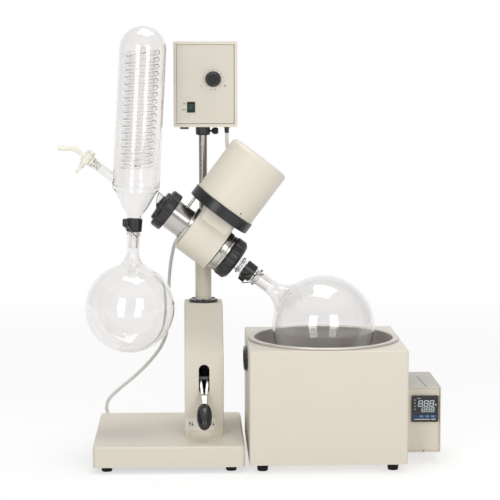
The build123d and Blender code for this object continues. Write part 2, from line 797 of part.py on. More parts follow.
def gearbox_housing():
    """Cast gear block: a drum on the spindle's axis, a boss for the motor, a pad and spigot behind."""
    drum = spindle_frame * (Cylinder(block_radius, 2 * block_half))
    boss = Box(2 * block_half, boss_depth, ring_low)
    boss = fillet(boss.edges().filter_by(Axis.Z), boss_corner)
    boss = motor_frame * (Pos(-motor_offset, 0, ring_low / 2) * boss)
    pad_back = -head_offset + block_radius + 0.2
    pad = rod((0, -head_offset + 20, head_height), (0, pad_back, head_height), spigot_pad_radius)
    block = drum + boss + pad
    seat = bearing_radius
    inside = turned((0, -chamber_half), (chamber_radius, -chamber_half), (chamber_radius, chamber_half),
                    (seat, chamber_half), (seat, block_half + 1), (0, block_half + 1))
    inside += Pos(0, 0, -block_half / 2 - 5) * Cylinder(seat, block_half - 8)
    left = Pos(0, 0, -(block_half + chamber_half) / 2 - 0.5) * Cylinder(seat, block_half - chamber_half + 1)
    block -= spindle_frame * (inside + left)
    block -= motor_frame * (Pos(0, 0, ring_low / 2 + 10) * Cylinder(motor_shaft_radius + 6, ring_low))
    spigot = rod((0, -head_offset + block_radius - 5, head_height),
                 (0, clamp_back + 2, head_height), spigot_radius)
    block += spigot
    return block - rod((0, clamp_back - 12, head_height), (0, clamp_back + 3, head_height), 5 + running_gap)


def tilt_knob():
    """Star knob behind the clamp that locks the head's tilt."""
    knob = turned((0, 0), (16, 0), (16, 6), (24, 8), (24, 20), (20, 23), (0, 23))
    for place in PolarLocations(28, 6):
        knob -= place * Pos(0, 0, 15) * Cylinder(8, 18)
    back = clamp_back + 2 + free_gap
    stud = rod((0, clamp_back - 11, head_height), (0, back + 1, head_height), 5)
    return Plane(origin=(0, back, head_height), z_dir=(0, 1, 0)) * knob + stud


def spindle_bearings():
    """Two ball bearings, drawn as plain rings with a groove."""
    inner = spindle_radius + running_gap
    middle = (spindle_radius + bearing_radius) / 2
    half = bearing_width / 2
    ring = turned((inner, -half), (middle - 2, -half), (middle - 2, -half + 1), (middle + 2, -half + 1),
                  (middle + 2, -half), (bearing_radius, -half), (bearing_radius, half), (middle + 2, half),
                  (middle + 2, half - 1), (middle - 2, half - 1), (middle - 2, half), (inner, half))
    places = (-chamber_half - half, chamber_half + half)
    return [spindle_frame * (Pos(0, 0, place) * ring) for place in places]


def crown_pitch():
    """Radius at which the motor's pinion meshes with the crown wheel."""
    return crown_teeth * crown_module / 2


def crown_wheel():
    """Crown wheel on the spindle, its radial teeth towards the motor's pinion."""
    radius = crown_pitch()
    mesh = motor_offset - drive_pinion_teeth * crown_module / 2
    pitch = pi * crown_module
    root = -dedendum * crown_module
    tip = addendum * crown_module
    half = (pitch / 2 - drive_backlash / 2) / 2
    slant = tan(pressure_angle)
    outline = Polyline((-half - slant * -root, root - 0.2), (half + slant * -root, root - 0.2),
                       (half - slant * tip, tip), (-half + slant * tip, tip), close=True)
    across = Plane(origin=(radius, 0, 0), x_dir=(0, 1, 0), z_dir=(1, 0, 0))
    tooth = extrude(across * make_face(outline), crown_face / 2, both=True)
    back = -chamber_half - mesh + free_gap
    ring = turned((spindle_radius, back), (radius + crown_face / 2, back),
                  (radius + crown_face / 2, root), (radius - crown_face / 2 - 1, root),
                  (radius - crown_face / 2 - 1, root + 3), (spindle_radius, root + 3))
    teeth = [Rot(0, 0, 360 * number / crown_teeth) * tooth for number in range(crown_teeth)]
    wheel = ring.fuse(*teeth)
    return spindle_frame * (Pos(0, 0, mesh) * (Rot(0, 0, -90) * wheel))


def motor_rotor():
    """Motor shaft with its rotor pack and the drive pinion at its lower end."""
    low = crown_pitch() - crown_face / 2 - 0.5
    pinion_length = crown_face + 2
    teeth = gear(drive_pinion_teeth, crown_module, pinion_length, drive_backlash / 2, gap_angle())
    shaft_top = ring_low + 5 + stator_length - 4
    shaft = Pos(0, 0, (low + shaft_top) / 2) * Cylinder(motor_shaft_radius, shaft_top - low)
    core = Pos(0, 0, ring_low + 5 + stator_length / 2)
    core = core * Cylinder(stator_bore - rotor_gap, stator_length - 24)
    return motor_frame * (Pos(0, 0, low + pinion_length / 2) * teeth + shaft + core)


def gap_angle():
    """Turns the pinion so that a gap meets the crown wheel's tooth."""
    return pi + pi / drive_pinion_teeth


def motor_ring():
    """Black moulded ring that carries the motor and its cover."""
    inner = cover_radius - cover_wall
    seat = cover_radius + fit_gap
    hole = motor_shaft_radius + 4
    ring = turned((hole, ring_low), (ring_radius - 1.5, ring_low), (ring_radius, ring_low + 1.5),
                  (ring_radius, ring_high - 1.5), (ring_radius - 1.2, ring_high), (seat, ring_high),
                  (seat, ring_high - 6), (inner, ring_high - 6), (inner, ring_low + 5), (hole, ring_low + 5))
    return motor_frame * ring


def motor_cover():
    """Drawn steel cover of the motor, rounded at its top edge."""
    low = ring_high - 6
    length = cover_top - low
    cover = Pos(0, 0, low + length / 2) * Cylinder(cover_radius, length)
    cover = fillet(cover.edges().sort_by(Axis.Z)[-1], cover_round)
    hollow = Pos(0, 0, low + (length - cover_wall) / 2 - 0.5)
    hollow = hollow * Cylinder(cover_radius - cover_wall, length - cover_wall + 1)
    hollow = fillet(hollow.edges().sort_by(Axis.Z)[-1], cover_round - cover_wall)
    return motor_frame * (cover - hollow)


def motor_stator():
    """Stator pack between two end shields that carry the rotor's shaft."""
    low = ring_low + 5
    high = low + stator_length
    hole = motor_shaft_radius + running_gap
    bore = stator_bore
    shell = turned((hole, low), (stator_radius - 6, low), (stator_radius, low + 6), (stator_radius, high - 6),
                   (stator_radius - 6, high), (hole, high), (hole, high - 8), (bore, high - 8),
                   (bore, low + 8), (hole, low + 8))
    return motor_frame * shell


def condenser_collar():
    """Bright collar on the block's left side, with the nut's threaded end."""
    face = -block_half
    collar = turned((collar_bore, face), (collar_flange_radius, face),
                    (collar_flange_radius, face - collar_flange), (collar_radius, face - collar_flange),
                    (collar_radius, left_nut_right + free_gap),
                    (collar_thread_radius, left_nut_right + free_gap),
                    (collar_thread_radius, collar_end), (collar_bore, collar_end))
    pin = rod((0, collar_radius - 2, collar_pin_at), (0, ring_low - free_gap, collar_pin_at),
              collar_pin_radius)
    return spindle_frame * (collar + pin)


def vapour_seal():
    """Sealing ring in the collar, round the turning vapour tube."""
    start = collar_end + 1
    ring = turned((tube_radius + free_gap, start), (collar_bore, start), (collar_bore, start + seal_length),
                  (tube_radius + 3, start + seal_length), (tube_radius + 3, start + 6),
                  (tube_radius + free_gap, start + 6))
    return spindle_frame * ring


def condenser_nut():
    """Black union nut with eight grips and a stepped nose."""
    thread = collar_thread_radius + fit_gap
    lip = left_nut_left + 4
    hole = arm_radius + 1.5
    nose = left_nut_left - left_nut_ring
    nut = turned((thread, left_nut_right), (left_nut_radius - 2, left_nut_right),
                 (left_nut_radius, left_nut_right - 2), (left_nut_radius, left_nut_left + 3),
                 (left_nut_radius - 3, left_nut_left), (left_nut_ring_radius, left_nut_left),
                 (left_nut_ring_radius, nose + 2), (left_nut_ring_radius - 2, nose), (hole, nose),
                 (hole, lip - 4), (hole, lip), (thread, lip))
    for place in PolarLocations(left_nut_radius + 1.6, left_nut_grooves):
        nut -= place * Pos(0, 0, (left_nut_right + left_nut_left) / 2) * Cylinder(4, 22)
    return spindle_frame * nut


def bearing_cap():
    """Bright bearing cap with a groove round it and a small radial hole."""
    bore = spindle_radius + free_gap
    groove, step = cap_radius - 2, cap_radius - 0.8
    cap = turned((bore, block_half), (cap_radius, block_half), (cap_radius, cap_end - 6),
                 (groove, cap_end - 6), (groove, cap_end - 4), (step, cap_end - 4), (step, cap_end),
                 (bore, cap_end))
    cap -= rod((-cap_radius - 1, 0, block_half + 6), (-cap_radius + 4, 0, block_half + 6), 1.6)
    return spindle_frame * cap


def spindle_shaft():
    """Hollow spindle, turned with a shoulder for the flask nut."""
    length = spindle_right - spindle_left
    middle = (spindle_right + spindle_left) / 2
    shaft = Cylinder(spindle_radius, length) - Cylinder(spindle_bore, length)
    return spindle_frame * (Pos(0, 0, middle) * shaft)


def flask_nut():
    """Ribbed black nut that holds the vapour tube in the spindle."""
    start = cap_end + 2 * free_gap
    lip = tube_neck_radius + fit_gap
    flange = spindle_right + 4 + fit_gap
    radius = right_nut_radius
    pocket = tube_disc_radius + 1
    nut = turned((spindle_radius, start), (radius - 3, start), (radius, start + 4),
                 (radius, right_nut_end - 6), (radius - 6, right_nut_end), (lip, right_nut_end),
                 (lip, flange), (pocket, flange), (pocket, spindle_right), (spindle_radius, spindle_right))
    for place in PolarLocations(radius + 1.2, right_nut_grooves):
        nut -= place * Pos(0, 0, start + 12) * Cylinder(2.6, 30)
    return spindle_frame * nut


def vapour_tube():
    """Glass vapour tube with its flange, a ring and the ground cone for the flask."""
    wide, narrow = tube_neck_radius, tube_radius
    flange = spindle_right + 4
    cone_start = clip_start + clip_length + 5
    top = flask_neck_radius - glass_wall - fit_gap
    tip = top - cone_taper
    tube = turned((narrow, tube_left), (narrow, spindle_right), (tube_disc_radius, spindle_right),
                  (tube_disc_radius, flange), (wide, flange), (wide, tube_disc_at - 1.5),
                  (tube_disc_radius, tube_disc_at - 1.5), (tube_disc_radius, tube_disc_at + 1.5),
                  (wide, tube_disc_at + 1.5), (wide, cone_start - 2), (top, cone_start), (tip, cone_end),
                  (tip - tube_wall, cone_end), (narrow - tube_wall, cone_start),
                  (narrow - tube_wall, tube_left))
    return spindle_frame * tube


def clip_ring(start, length, radius, bore):
    """Plastic joint clip: a split-looking ring with two ears for its wire bail."""
    ring = turned((bore, start), (radius - 1, start), (radius, start + 1), (radius - 0.6, start + length - 1),
                  (radius - 1.6, start + length), (bore, start + length))
    ears = None
    for side in (-1, 1):
        ear = box_between((radius - 3, side * 4 - 1.6, start + length * 0.05),
                          (radius + 6, side * 4 + 1.6, start + length * 0.65))
        hole = rod((radius + 2.6, side * 4 - 3, start + length * pin_share),
                   (radius + 2.6, side * 4 + 3, start + length * pin_share), wire_radius + running_gap)
        ear = fillet(ear.edges().filter_by(Axis.Y).sort_by(Axis.X)[-2:], 2.5) - hole
        ears = ear if ears is None else ears + ear
    return ring + (ears - Pos(0, 0, start + length / 2) * Cylinder(bore + 1, 2 * length))


def wire_bail(start, length, radius, catch, rim, neck):
    """Wire bail: a pin in the clip's ears and two legs that hook in behind the rim."""
    x, z = radius + 2.6, start + length * pin_share
    leg = rim + 1.5
    hook = neck + wire_radius + 0.5
    half = [(x, 6.4, z), (x - 3, leg, z + 8), (-2, leg, catch), (-2, hook, catch)]
    points = [(px, -py, pz) for px, py, pz in reversed(half)] + half
    wire = None
    for first, second in zip(points, points[1:]):
        piece = rod(first, second, wire_radius) + Pos(*second) * Sphere(wire_radius)
        wire = piece if wire is None else wire + piece
    return wire


def bulb(radius, neck, flare, top, rim_radius, rim_at, wall):
    """Round-bottomed flask about Z, its middle at the origin and its neck upwards."""
    centre_r = neck + flare
    centre_z = sqrt((radius + flare) ** 2 - centre_r ** 2)

    def side(inset):
        ball, bend = radius - inset, flare + inset
        meet = (centre_r * ball / (radius + flare), centre_z * ball / (radius + flare))
        turn = atan2(meet[1] - centre_z, meet[0] - centre_r) % (2 * pi)
        middle = (pi + turn) / 2
        return meet, (centre_r + bend * cos(middle), centre_z + bend * sin(middle)), (ball, 0), ball

    outer_meet, outer_bend, outer_mid, outer_ball = side(0)
    inner_meet, inner_bend, inner_mid, inner_ball = side(wall)
    edges = [Line((neck - wall, top), (neck, top)), Line((neck, top), (neck, centre_z)),
             ThreePointArc((neck, centre_z), outer_bend, outer_meet),
             ThreePointArc(outer_meet, outer_mid, (0, -outer_ball)),
             Line((0, -outer_ball), (0, -inner_ball)),
             ThreePointArc((0, -inner_ball), inner_mid, inner_meet),
             ThreePointArc(inner_meet, inner_bend, (neck - wall, centre_z)),
             Line((neck - wall, centre_z), (neck - wall, top))]
    face = make_face(Curve() + edges)
    flask = revolve(Plane.XZ * face, Axis.Z)
    bead = turned((neck - 0.5, rim_at - 2.5), (rim_radius - 1, rim_at - 2), (rim_radius, rim_at),
                  (rim_radius - 1, rim_at + 2), (neck - 0.5, rim_at + 2.5))
    return flask + bead


def evaporating_flask():
    """Round glass flask on the vapour tube, over the bath."""
    neck_top = flask_centre - flask_rim_at + 2
    glass = bulb(flask_radius, flask_neck_radius, flask_flare, neck_top, flask_rim_radius,
                 flask_centre - flask_rim_at, glass_wall)
    return spindle_frame * (Pos(0, 0, flask_centre) * Rot(180, 0, 0) * glass)


def receiving_flask():
    """Round glass flask under the condenser."""
    neck_top = receiving_rim_at + 2 - receiving_centre
    glass = bulb(receiving_radius, receiving_neck_radius, receiving_flare, neck_top, receiving_rim_radius,
                 receiving_rim_at - receiving_centre, glass_wall)
    return condenser_frame * (Pos(0, 0, receiving_centre) * glass)


def jacket_solid(inset):
    """Outer form of the condenser's body, or its hollow when moved in."""
    radius = jacket_radius - inset
    neck = jacket_neck_radius - inset
    dome = jacket_top - jacket_radius
    shoulder = (radius * cos(pi / 4), dome + radius * sin(pi / 4))
    low = cone_bottom + inset
    edges = [Line((0, low), (neck, low)), Line((neck, low), (neck, cone_bottom + 4)),
             Line((neck, cone_bottom + 4), (radius, 0)), Line((radius, 0), (radius, dome)),
             ThreePointArc((radius, dome), shoulder, (0, dome + radius)),
             Line((0, dome + radius), (0, low))]
    return revolve(Plane.XZ * make_face(Curve() + edges), Axis.Z)


def condenser_jacket():
    """Glass condenser body with its seam, the vapour arm, the feed port and the outlet cone."""
    outer = condenser_frame * jacket_solid(0)
    seam_radius = jacket_radius + 0.8
    seam = turned((jacket_radius - 1, -4), (seam_radius, -2), (seam_radius, 2), (jacket_radius - 1, 4))
    outer += condenser_frame * seam
    arm_end = collar_end - 0.3
    arm_length = arm_end - condenser_at
    outer += spindle_frame * (Pos(0, 0, arm_end - arm_length / 2) * Cylinder(arm_radius, arm_length))
    outer += spindle_frame * (Pos(0, 0, arm_end - arm_flange / 2) * Cylinder(arm_flange_radius, arm_flange))
    feed = feed_frame()
    outer += feed * (Pos(0, 0, feed_length / 2) * Cylinder(feed_radius, feed_length))
    stem_low = receiving_clip_start - receiving_clip_length - 30
    outer += condenser_frame * (turned((0, stem_low), (receiving_neck_radius - glass_wall - 1.2, stem_low),
                                       (receiving_neck_radius - glass_wall - 0.2, receiving_rim_at + 2),
                                       (receiving_neck_radius, receiving_rim_at + 3),
                                       (receiving_neck_radius, cone_bottom + 1), (0, cone_bottom + 1)))
    for height in port_heights():
        outer += port_frame(height) * (Pos(0, 0, 9) * Cylinder(port_radius, 18))
    hollow = condenser_frame * jacket_solid(glass_wall)
    hollow += spindle_frame * (Pos(0, 0, arm_end - arm_length / 2 + 1)
                               * Cylinder(arm_radius - glass_wall, arm_length + 2))
    hollow += feed * (Pos(0, 0, feed_length / 2 + 1) * Cylinder(feed_radius - glass_wall, feed_length + 2))
    bore = receiving_neck_radius - 2 * glass_wall - 1.2
    stem_bore = Cylinder(bore, cone_bottom - stem_low + 12)
    hollow += condenser_frame * (Pos(0, 0, (stem_low + cone_bottom) / 2) * stem_bore)
    return outer - hollow


def port_heights():
    """Heights of the two water ports at the condenser's back."""
    return (coil_start, coil_start + coil_pitch * coil_turns)


def port_frame(height):
    """Where a water port leaves the condenser's back, pointing away from the user."""
    start = condenser_origin + condenser_way * height + Vector(0, jacket_radius - 1.5, 0)
    return Plane(origin=start, z_dir=(0, 1, 0))


def feed_frame():
    """Feed port's axis, up and to the left from the condenser's body."""
    start = condenser_origin + condenser_way * feed_height - Vector(jacket_radius - 6, 0, 0)
    way = Vector(-cos(radians(feed_slope)), 0, sin(radians(feed_slope)))
    return Plane(origin=start, x_dir=(0, 1, 0), z_dir=way)


def condenser_coil():
    """Glass cooling coil inside the jacket, its ends led back to the water ports."""
    height = coil_pitch * coil_turns
    helix = Helix(coil_pitch, height, coil_radius)
    section = Plane(origin=helix @ 0, z_dir=helix % 0) * Circle(coil_tube_radius)
    coil = Rot(0, 0, 90) * sweep(section, path=helix)
    wall = jacket_radius - glass_wall - 2 * free_gap
    for z in (0, height):
        coil += rod((0, coil_radius - 1, z), (0, wall, z), coil_tube_radius - 0.4)
        coil += Pos(0, coil_radius, z) * Sphere(coil_tube_radius)
    return condenser_frame * (Pos(0, 0, coil_start) * coil)


def feed_valve():
    """Stopcock on the feed port: glass socket, plastic barrel and the bent inlet."""
    low, high = feed_length - 16, feed_length + 4
    inner = feed_radius - glass_wall - fit_gap
    stem = turned((2, low), (inner, low), (inner, feed_length), (feed_radius + 1, feed_length + 0.1),
                  (feed_radius + 1, high), (2, high))
    barrel_at = feed_length + barrel_height
    barrel = Pos(0, 0, barrel_at) * Rot(0, 90, 0) * Cylinder(9, 20)
    body = stem + barrel
    tip = Pos(0, 0, barrel_at + 13) * Cylinder(4.2, 14)
    body += tip
    body -= Pos(0, 0, barrel_at) * Rot(0, 90, 0) * Cylinder(5 + running_gap, 24)
    nozzle = inlet_nozzle(feed_length + barrel_height + 12 + 8)
    return [feed_frame() * Rot(0, 0, -90) * body, nozzle]


def inlet_nozzle(start_at):
    """Bent glass inlet beyond the stopcock, ending level."""
    frame = feed_frame()
    start = frame.origin + frame.z_dir * start_at
    bend = start + frame.z_dir * 9
    tip = bend + Vector(-30, 0, 1)
    return rod(tuple(start), tuple(bend), 4.6) + rod(tuple(bend), tuple(tip), 4.6) + Pos(*bend) * Sphere(4.6)


def stopcock_key():
    """Key through the stopcock's barrel with a flat handle at its lower end."""
    at = feed_length + barrel_height
    key = Rot(0, 90, 0) * Cylinder(5, 22)
    nut = Pos(12.9, 0, 0) * Rot(0, 90, 0) * Cylinder(7, 5)
    neck = Pos(-15, 0, 0) * Rot(0, 90, 0) * Cylinder(5, 9)
    handle = Pos(-25, 0, 0) * Box(14, 22, 7)
    handle = fillet(handle.edges().filter_by(Axis.Z), 5)
    return feed_frame() * Rot(0, 0, -90) * (Pos(0, 0, at) * (key + nut + neck + handle))


def flask_clip():
    """Clip that holds the evaporating flask on the vapour tube."""
    ring = clip_ring(0, clip_length, clip_radius, tube_neck_radius)
    return spindle_frame * (Pos(0, 0, clip_start) * Rot(0, 0, flask_clip_turn) * ring)


def flask_bail():
    """Wire bail of the evaporating flask's clip."""
    catch = flask_rim_at + 4.5 - clip_start
    wire = wire_bail(0, clip_length, clip_radius, catch, flask_rim_radius, flask_neck_radius)
    return spindle_frame * (Pos(0, 0, clip_start) * Rot(0, 0, flask_clip_turn) * wire)


def receiving_clip():
    """Clip that holds the receiving flask on the condenser's outlet."""
    ring = clip_ring(0, receiving_clip_length, receiving_clip_radius, receiving_neck_radius)
    turn = Rot(0, 0, receiving_clip_turn) * Rot(180, 0, 0)
    return condenser_frame * (Pos(0, 0, receiving_clip_start) * turn * ring)


def receiving_bail():
    """Wire bail of the receiving flask's clip."""
    catch = receiving_clip_start - receiving_rim_at + 4.5
    wire = wire_bail(0, receiving_clip_length, receiving_clip_radius, catch, receiving_rim_radius,
                     receiving_neck_radius)
    turn = Rot(0, 0, receiving_clip_turn) * Rot(180, 0, 0)
    return condenser_frame * (Pos(0, 0, receiving_clip_start) * turn * wire)


def bath_case():
    """Painted sheet steel case with a round opening for the pan."""
    back = bath_front + bath_depth
    case = box_between((bath_left, bath_front, bath_low), (bath_right, back, bath_top))
    case = fillet(case.edges().filter_by(Axis.Z), bath_corner)
    case = fillet(case.faces().sort_by(Axis.Z)[-1].edges(), 2)
    case -= box_between((bath_left + bath_sheet, bath_front + bath_sheet, bath_low + bath_sheet),
                        (bath_right - bath_sheet, back - bath_sheet, bath_top - bath_sheet))
    case -= Pos(bath_x, bath_y, bath_top) * Cylinder(pan_radius + pan_wall + 0.6, 10)
    cable = display_z
    return case - rod((bath_right - 5, bath_y, cable - 40), (bath_right + 5, bath_y, cable - 40), 8)


def bath_pan():
    """Deep-drawn stainless pan with a rolled rim that rests on the case."""
    low = bath_top - pan_depth
    inner, outer = pan_radius, pan_radius + pan_wall
    rim, high = pan_rim_radius, bath_top + pan_rim_height
    pan = turned((0, low), (inner - 12, low), (inner, low + 12), (inner, high - 1), (inner + 1.2, high),
                 (rim - 1, high), (rim, high - 1), (rim, bath_top), (outer, bath_top),
                 (outer, low + 11.6), (inner - 11.6, low - pan_wall), (0, low - pan_wall))
    return Pos(bath_x, bath_y, 0) * pan


def heater_and_probe():
    """Ring heater on two legs over the pan's floor, with the probe's well beside it."""
    floor = bath_top - pan_depth
    z = floor + heater_height
    ring = Pos(bath_x, bath_y, z) * Torus(heater_radius, heater_tube_radius)
    for angle in (-8, 8):
        x = bath_x + heater_radius * cos(radians(angle))
        y = bath_y + heater_radius * sin(radians(angle))
        ring += rod((x, y, floor), (x, y, z), heater_tube_radius - 0.5)
    x, y = bath_x + pan_radius - 18, bath_y
    probe = rod((x, y, floor), (x, y, floor + 40), 3)
    return [ring, probe]


def bath_handles():
    """Black moulded recessed grips on the bath's two sides."""
    grips = []
    for side, wall in ((-1, bath_left), (1, bath_right)):
        half_y, half_z = handle_length / 2, handle_height / 2
        plate = box_between((0, -half_y, -half_z), (2.5, half_y, half_z))
        lip = box_between((0, -half_y, half_z - 9), (handle_depth, half_y, half_z))
        grip = fillet((plate + lip).edges().filter_by(Axis.X), 4)
        if side < 0:
            grip = Rot(0, 0, 180) * grip
        grips.append(Pos(wall, bath_y, handle_z) * grip)
    return grips


def controller_case():
    """Controller box on the bath's right side, its front panel set back under the lid."""
    right = bath_right + control_width
    shell = box_between((bath_right, control_front, control_low), (right, control_back, control_high))
    shell = fillet(shell.edges().filter_by(Axis.Y).sort_by(Axis.X)[-2:], 1.2)
    front = control_front + control_recess
    inner = control_sheet
    shell -= box_between((bath_right + inner, front + inner, control_low + inner),
                         (right - inner, control_back - inner, control_high - inner))
    shell -= box_between((bath_right - 1, control_front - 1, control_low + inner),
                         (right - inner, front, control_high - inner))
    half = display_body / 2 + fit_gap
    shell -= box_between((display_x - half, front - 1, display_z - half),
                         (display_x + half, front + 4, display_z + half))
    shell -= box_between((right - 3, front + 8, display_z - 24), (right + 1, front + 11, display_z + 24))
    return shell - rod((bath_right - 1, bath_y, display_z - 40), (bath_right + 3, bath_y, display_z - 40), 8)


def controller_display():
    """Square temperature controller: bezel, body and pockets for its keys."""
    front = control_front + control_recess
    half = display_size / 2
    bezel = box_between((display_x - half, front - display_bezel, display_z - half),
                        (display_x + half, front, display_z + half))
    bezel = fillet(bezel.edges().filter_by(Axis.Y), 1.5)
    window = box_between((display_x - half + 3, front - display_bezel - 1, display_z - half + 3),
                         (display_x + half - 3, front - display_bezel + 0.8, display_z + half - 3))
    half = display_body / 2
    body = box_between((display_x - half, front, display_z - half),
                       (display_x + half, front + display_body_depth, display_z + half))
    unit = bezel - window + body
    half_x, half_z = key_width / 2 + free_gap, key_height / 2 + free_gap
    for number in range(3):
        x = key_first_x + number * key_spacing
        unit -= box_between((x - half_x, front - display_bezel, key_z - half_z),
                            (x + half_x, front - 0.5, key_z + half_z))
    return unit


def display_key(number):
    """One key of the controller, which travels inwards."""
    front = control_front + control_recess
    x = key_first_x + number * key_spacing
    key = box_between((x - key_width / 2, front - display_bezel - 0.4, key_z - key_height / 2),
                      (x + key_width / 2, front - 0.5 - key_travel - free_gap, key_z + key_height / 2))
    return fillet(key.edges().filter_by(Axis.Y), 0.8)


nodes = {
    "base_shell": base_shell(),
    "base_plate": base_plate(),
    "rubber_feet": rubber_feet(),
    "column_housing": column_housing(),
    "column_flange": column_flange(),
    "lift_frame": lift_frame(),
    "mast_tube": mast_tube(),
    "lift_rack": lift_rack(),
    "lift_lever": lift_lever(),
    "lever_grip": lever_grip(),
    "lever_sector": lever_sector(),
    "lift_pinion": lift_pinion(),
    "head_clamp": head_clamp(),
    "support_post": support_post(),
    "post_collar": post_collar(),
    "collar_screw": collar_screw(),
    "control_box_shell": control_box_shell(),
    "control_front_panel": control_front_panel(),
    "speed_knob": speed_knob(),
    "rocker_frame": rocker_frame(),
    "power_rocker": power_rocker(),
    "fuse_holder": fuse_holder(),
    "cord_gland": cord_gland(),
    "mains_cord": mains_cord(),
    "mains_cord_coil": mains_cord_coil(),
    "mains_plug": mains_plug(),
    "gearbox_housing": gearbox_housing(),
    "tilt_knob": tilt_knob(),
    "spindle_bearings": spindle_bearings(),
    "crown_wheel": crown_wheel(),
    "motor_rotor": motor_rotor(),
    "motor_ring": motor_ring(),
    "motor_cover": motor_cover(),
    "motor_stator": motor_stator(),
    "condenser_collar": condenser_collar(),
    "vapour_seal": vapour_seal(),
    "condenser_nut": condenser_nut(),
    "bearing_cap": bearing_cap(),
    "spindle_shaft": spindle_shaft(),
    "flask_nut": flask_nut(),
    "vapour_tube": vapour_tube(),
    "flask_clip": flask_clip(),
    "flask_bail": flask_bail(),
    "evaporating_flask": evaporating_flask(),
    "condenser_jacket": condenser_jacket(),
    "condenser_coil": condenser_coil(),
    "feed_valve": feed_valve(),
    "stopcock_key": stopcock_key(),
    "receiving_clip": receiving_clip(),
    "receiving_bail": receiving_bail(),
    "receiving_flask": receiving_flask(),
    "bath_case": bath_case(),
    "bath_pan": bath_pan(),
    "heater_and_probe": heater_and_probe(),
    "bath_handles": bath_handles(),
    "controller_case": controller_case(),
    "controller_display": controller_display(),
}
for number in range(3):
    nodes[f"display_key_{number + 1}"] = display_key(number)


def one_shape(piece):
    """The compound of a node's separate solids."""
    solids = []
    for item in (piece if isinstance(piece, list) else [piece]):
        solids += item.solids()
    return Compound(solids) if len(solids) > 1 else solids[0]


shapes = {name: one_shape(piece) for name, piece in nodes.items()}
cord_nodes = ("mains_cord", "mains_cord_coil", "mains_plug")
bounds = Compound([shape for name, shape in shapes.items() if name not in cord_nodes]).bounding_box()
shift = Pos(-(bounds.min.X + bounds.max.X) / 2, -(bounds.min.Y + bounds.max.Y) / 2, 0)
print("bounds", bounds.min, bounds.max)
os.makedirs("parts", exist_ok=True)
for name, shape in shapes.items():
    export_step(shift * shape, f"parts/{name}.step")
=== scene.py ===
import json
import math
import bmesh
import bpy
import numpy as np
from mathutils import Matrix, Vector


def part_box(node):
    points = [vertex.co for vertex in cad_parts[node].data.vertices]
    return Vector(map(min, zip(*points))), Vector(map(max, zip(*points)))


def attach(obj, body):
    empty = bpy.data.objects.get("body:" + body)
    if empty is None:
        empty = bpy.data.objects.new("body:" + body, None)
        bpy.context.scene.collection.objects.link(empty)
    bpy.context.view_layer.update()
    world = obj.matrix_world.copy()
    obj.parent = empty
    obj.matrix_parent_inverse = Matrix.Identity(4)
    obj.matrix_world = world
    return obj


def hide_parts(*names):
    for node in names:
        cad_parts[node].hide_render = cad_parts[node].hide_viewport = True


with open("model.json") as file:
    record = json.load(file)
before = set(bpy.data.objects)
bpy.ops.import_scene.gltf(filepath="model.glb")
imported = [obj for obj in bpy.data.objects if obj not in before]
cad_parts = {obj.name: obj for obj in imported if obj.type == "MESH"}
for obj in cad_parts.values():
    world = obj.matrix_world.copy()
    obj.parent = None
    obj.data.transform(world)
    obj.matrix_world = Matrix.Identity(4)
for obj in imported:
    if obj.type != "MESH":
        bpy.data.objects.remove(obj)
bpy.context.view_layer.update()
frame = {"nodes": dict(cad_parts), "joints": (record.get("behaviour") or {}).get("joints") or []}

# %% [markdown]
# A rotary evaporator distils a liquid from a turning flask that sits in a warm water
# bath. This lesson dresses a finished, jointed CAD model of one: the CAD gives every
# place and every moving body, and here each piece gets its surface. We could model
# over the whole machine, but pieces whose CAD shape is already right only get soft
# edges and a material. Round, ribbed and glass pieces are worked out again with numpy,
# because their curves have to be smooth.

nodes = frame["nodes"]
joints = {joint["name"]: joint for joint in frame["joints"]}
MM = 0.001

# %% [markdown]
# The camera comes first. The picture was taken from 3.2 metres with a long lens, a little above the control
# box, so the upright edges stay almost parallel. We could aim the camera with a constraint, but a plain
# direction turned into a rotation keeps the scene free of helpers.

# %% The camera at the photograph's place


def placed(name, data):
    """A new object of this data, linked into the scene."""
    thing = bpy.data.objects.new(name, data)
    bpy.context.scene.collection.objects.link(thing)
    return thing


head_ahead_of_mast = 68.4
mast_axis = Vector(joints["head_tilt"]["pos_m"])
mast_axis.z = 0
mast_axis.y += head_ahead_of_mast * MM
camera_place = mast_axis + Vector((-23.6, -3209.4, 732.7)) * MM
camera_yaw = 0.0345
camera_pitch = 0.1111
view_way = Vector((math.sin(camera_yaw) * math.cos(camera_pitch),
                   math.cos(camera_yaw) * math.cos(camera_pitch), -math.sin(camera_pitch)))
camera_data = bpy.data.cameras.new("photo_camera")
camera_data.sensor_width = 36
camera_data.lens = 124.65
camera_data.clip_end = 50
camera = placed("photo_camera", camera_data)
camera.location = camera_place
camera.rotation_mode = "QUATERNION"
camera.rotation_quaternion = view_way.to_track_quat("-Z", "Y")
bpy.context.scene.camera = camera
print("camera", [round(v, 3) for v in camera_place])

# %% [markdown]
# Each piece lies in one of a few straight directions: along the spindle, along the
# motor, along the leaning condenser, or upright. An axis here is an origin with three
# unit vectors. Points are worked out round a plain Z axis and then carried over by one
# matrix product, which is quicker and clearer than turning objects.

# %% Axes of the machine, read from its joints


def axes(origin, along, beside):
    """Origin and 3x3 matrix whose rows are beside, their cross product and along."""
    z = np.array(along, float) / np.linalg.norm(along)
    x = np.array(beside, float) - z * np.dot(beside, z)
    x = x / np.linalg.norm(x)
    return np.array(origin, float), np.array([x, np.cross(z, x), z])


def carried(points, axis):
    """Points given in an axis's own coordinates, in the frame: origin + p . matrix."""
    origin, matrix = axis
    return origin + np.asarray(points, float) @ matrix


def stepped(axis, distance, sideways=(0, 0)):
    """The same axis with its origin moved along it, and sideways along its x and y."""
    origin, matrix = axis
    return origin + matrix[2] * distance + matrix[0] * sideways[0] + matrix[1] * sideways[1], matrix


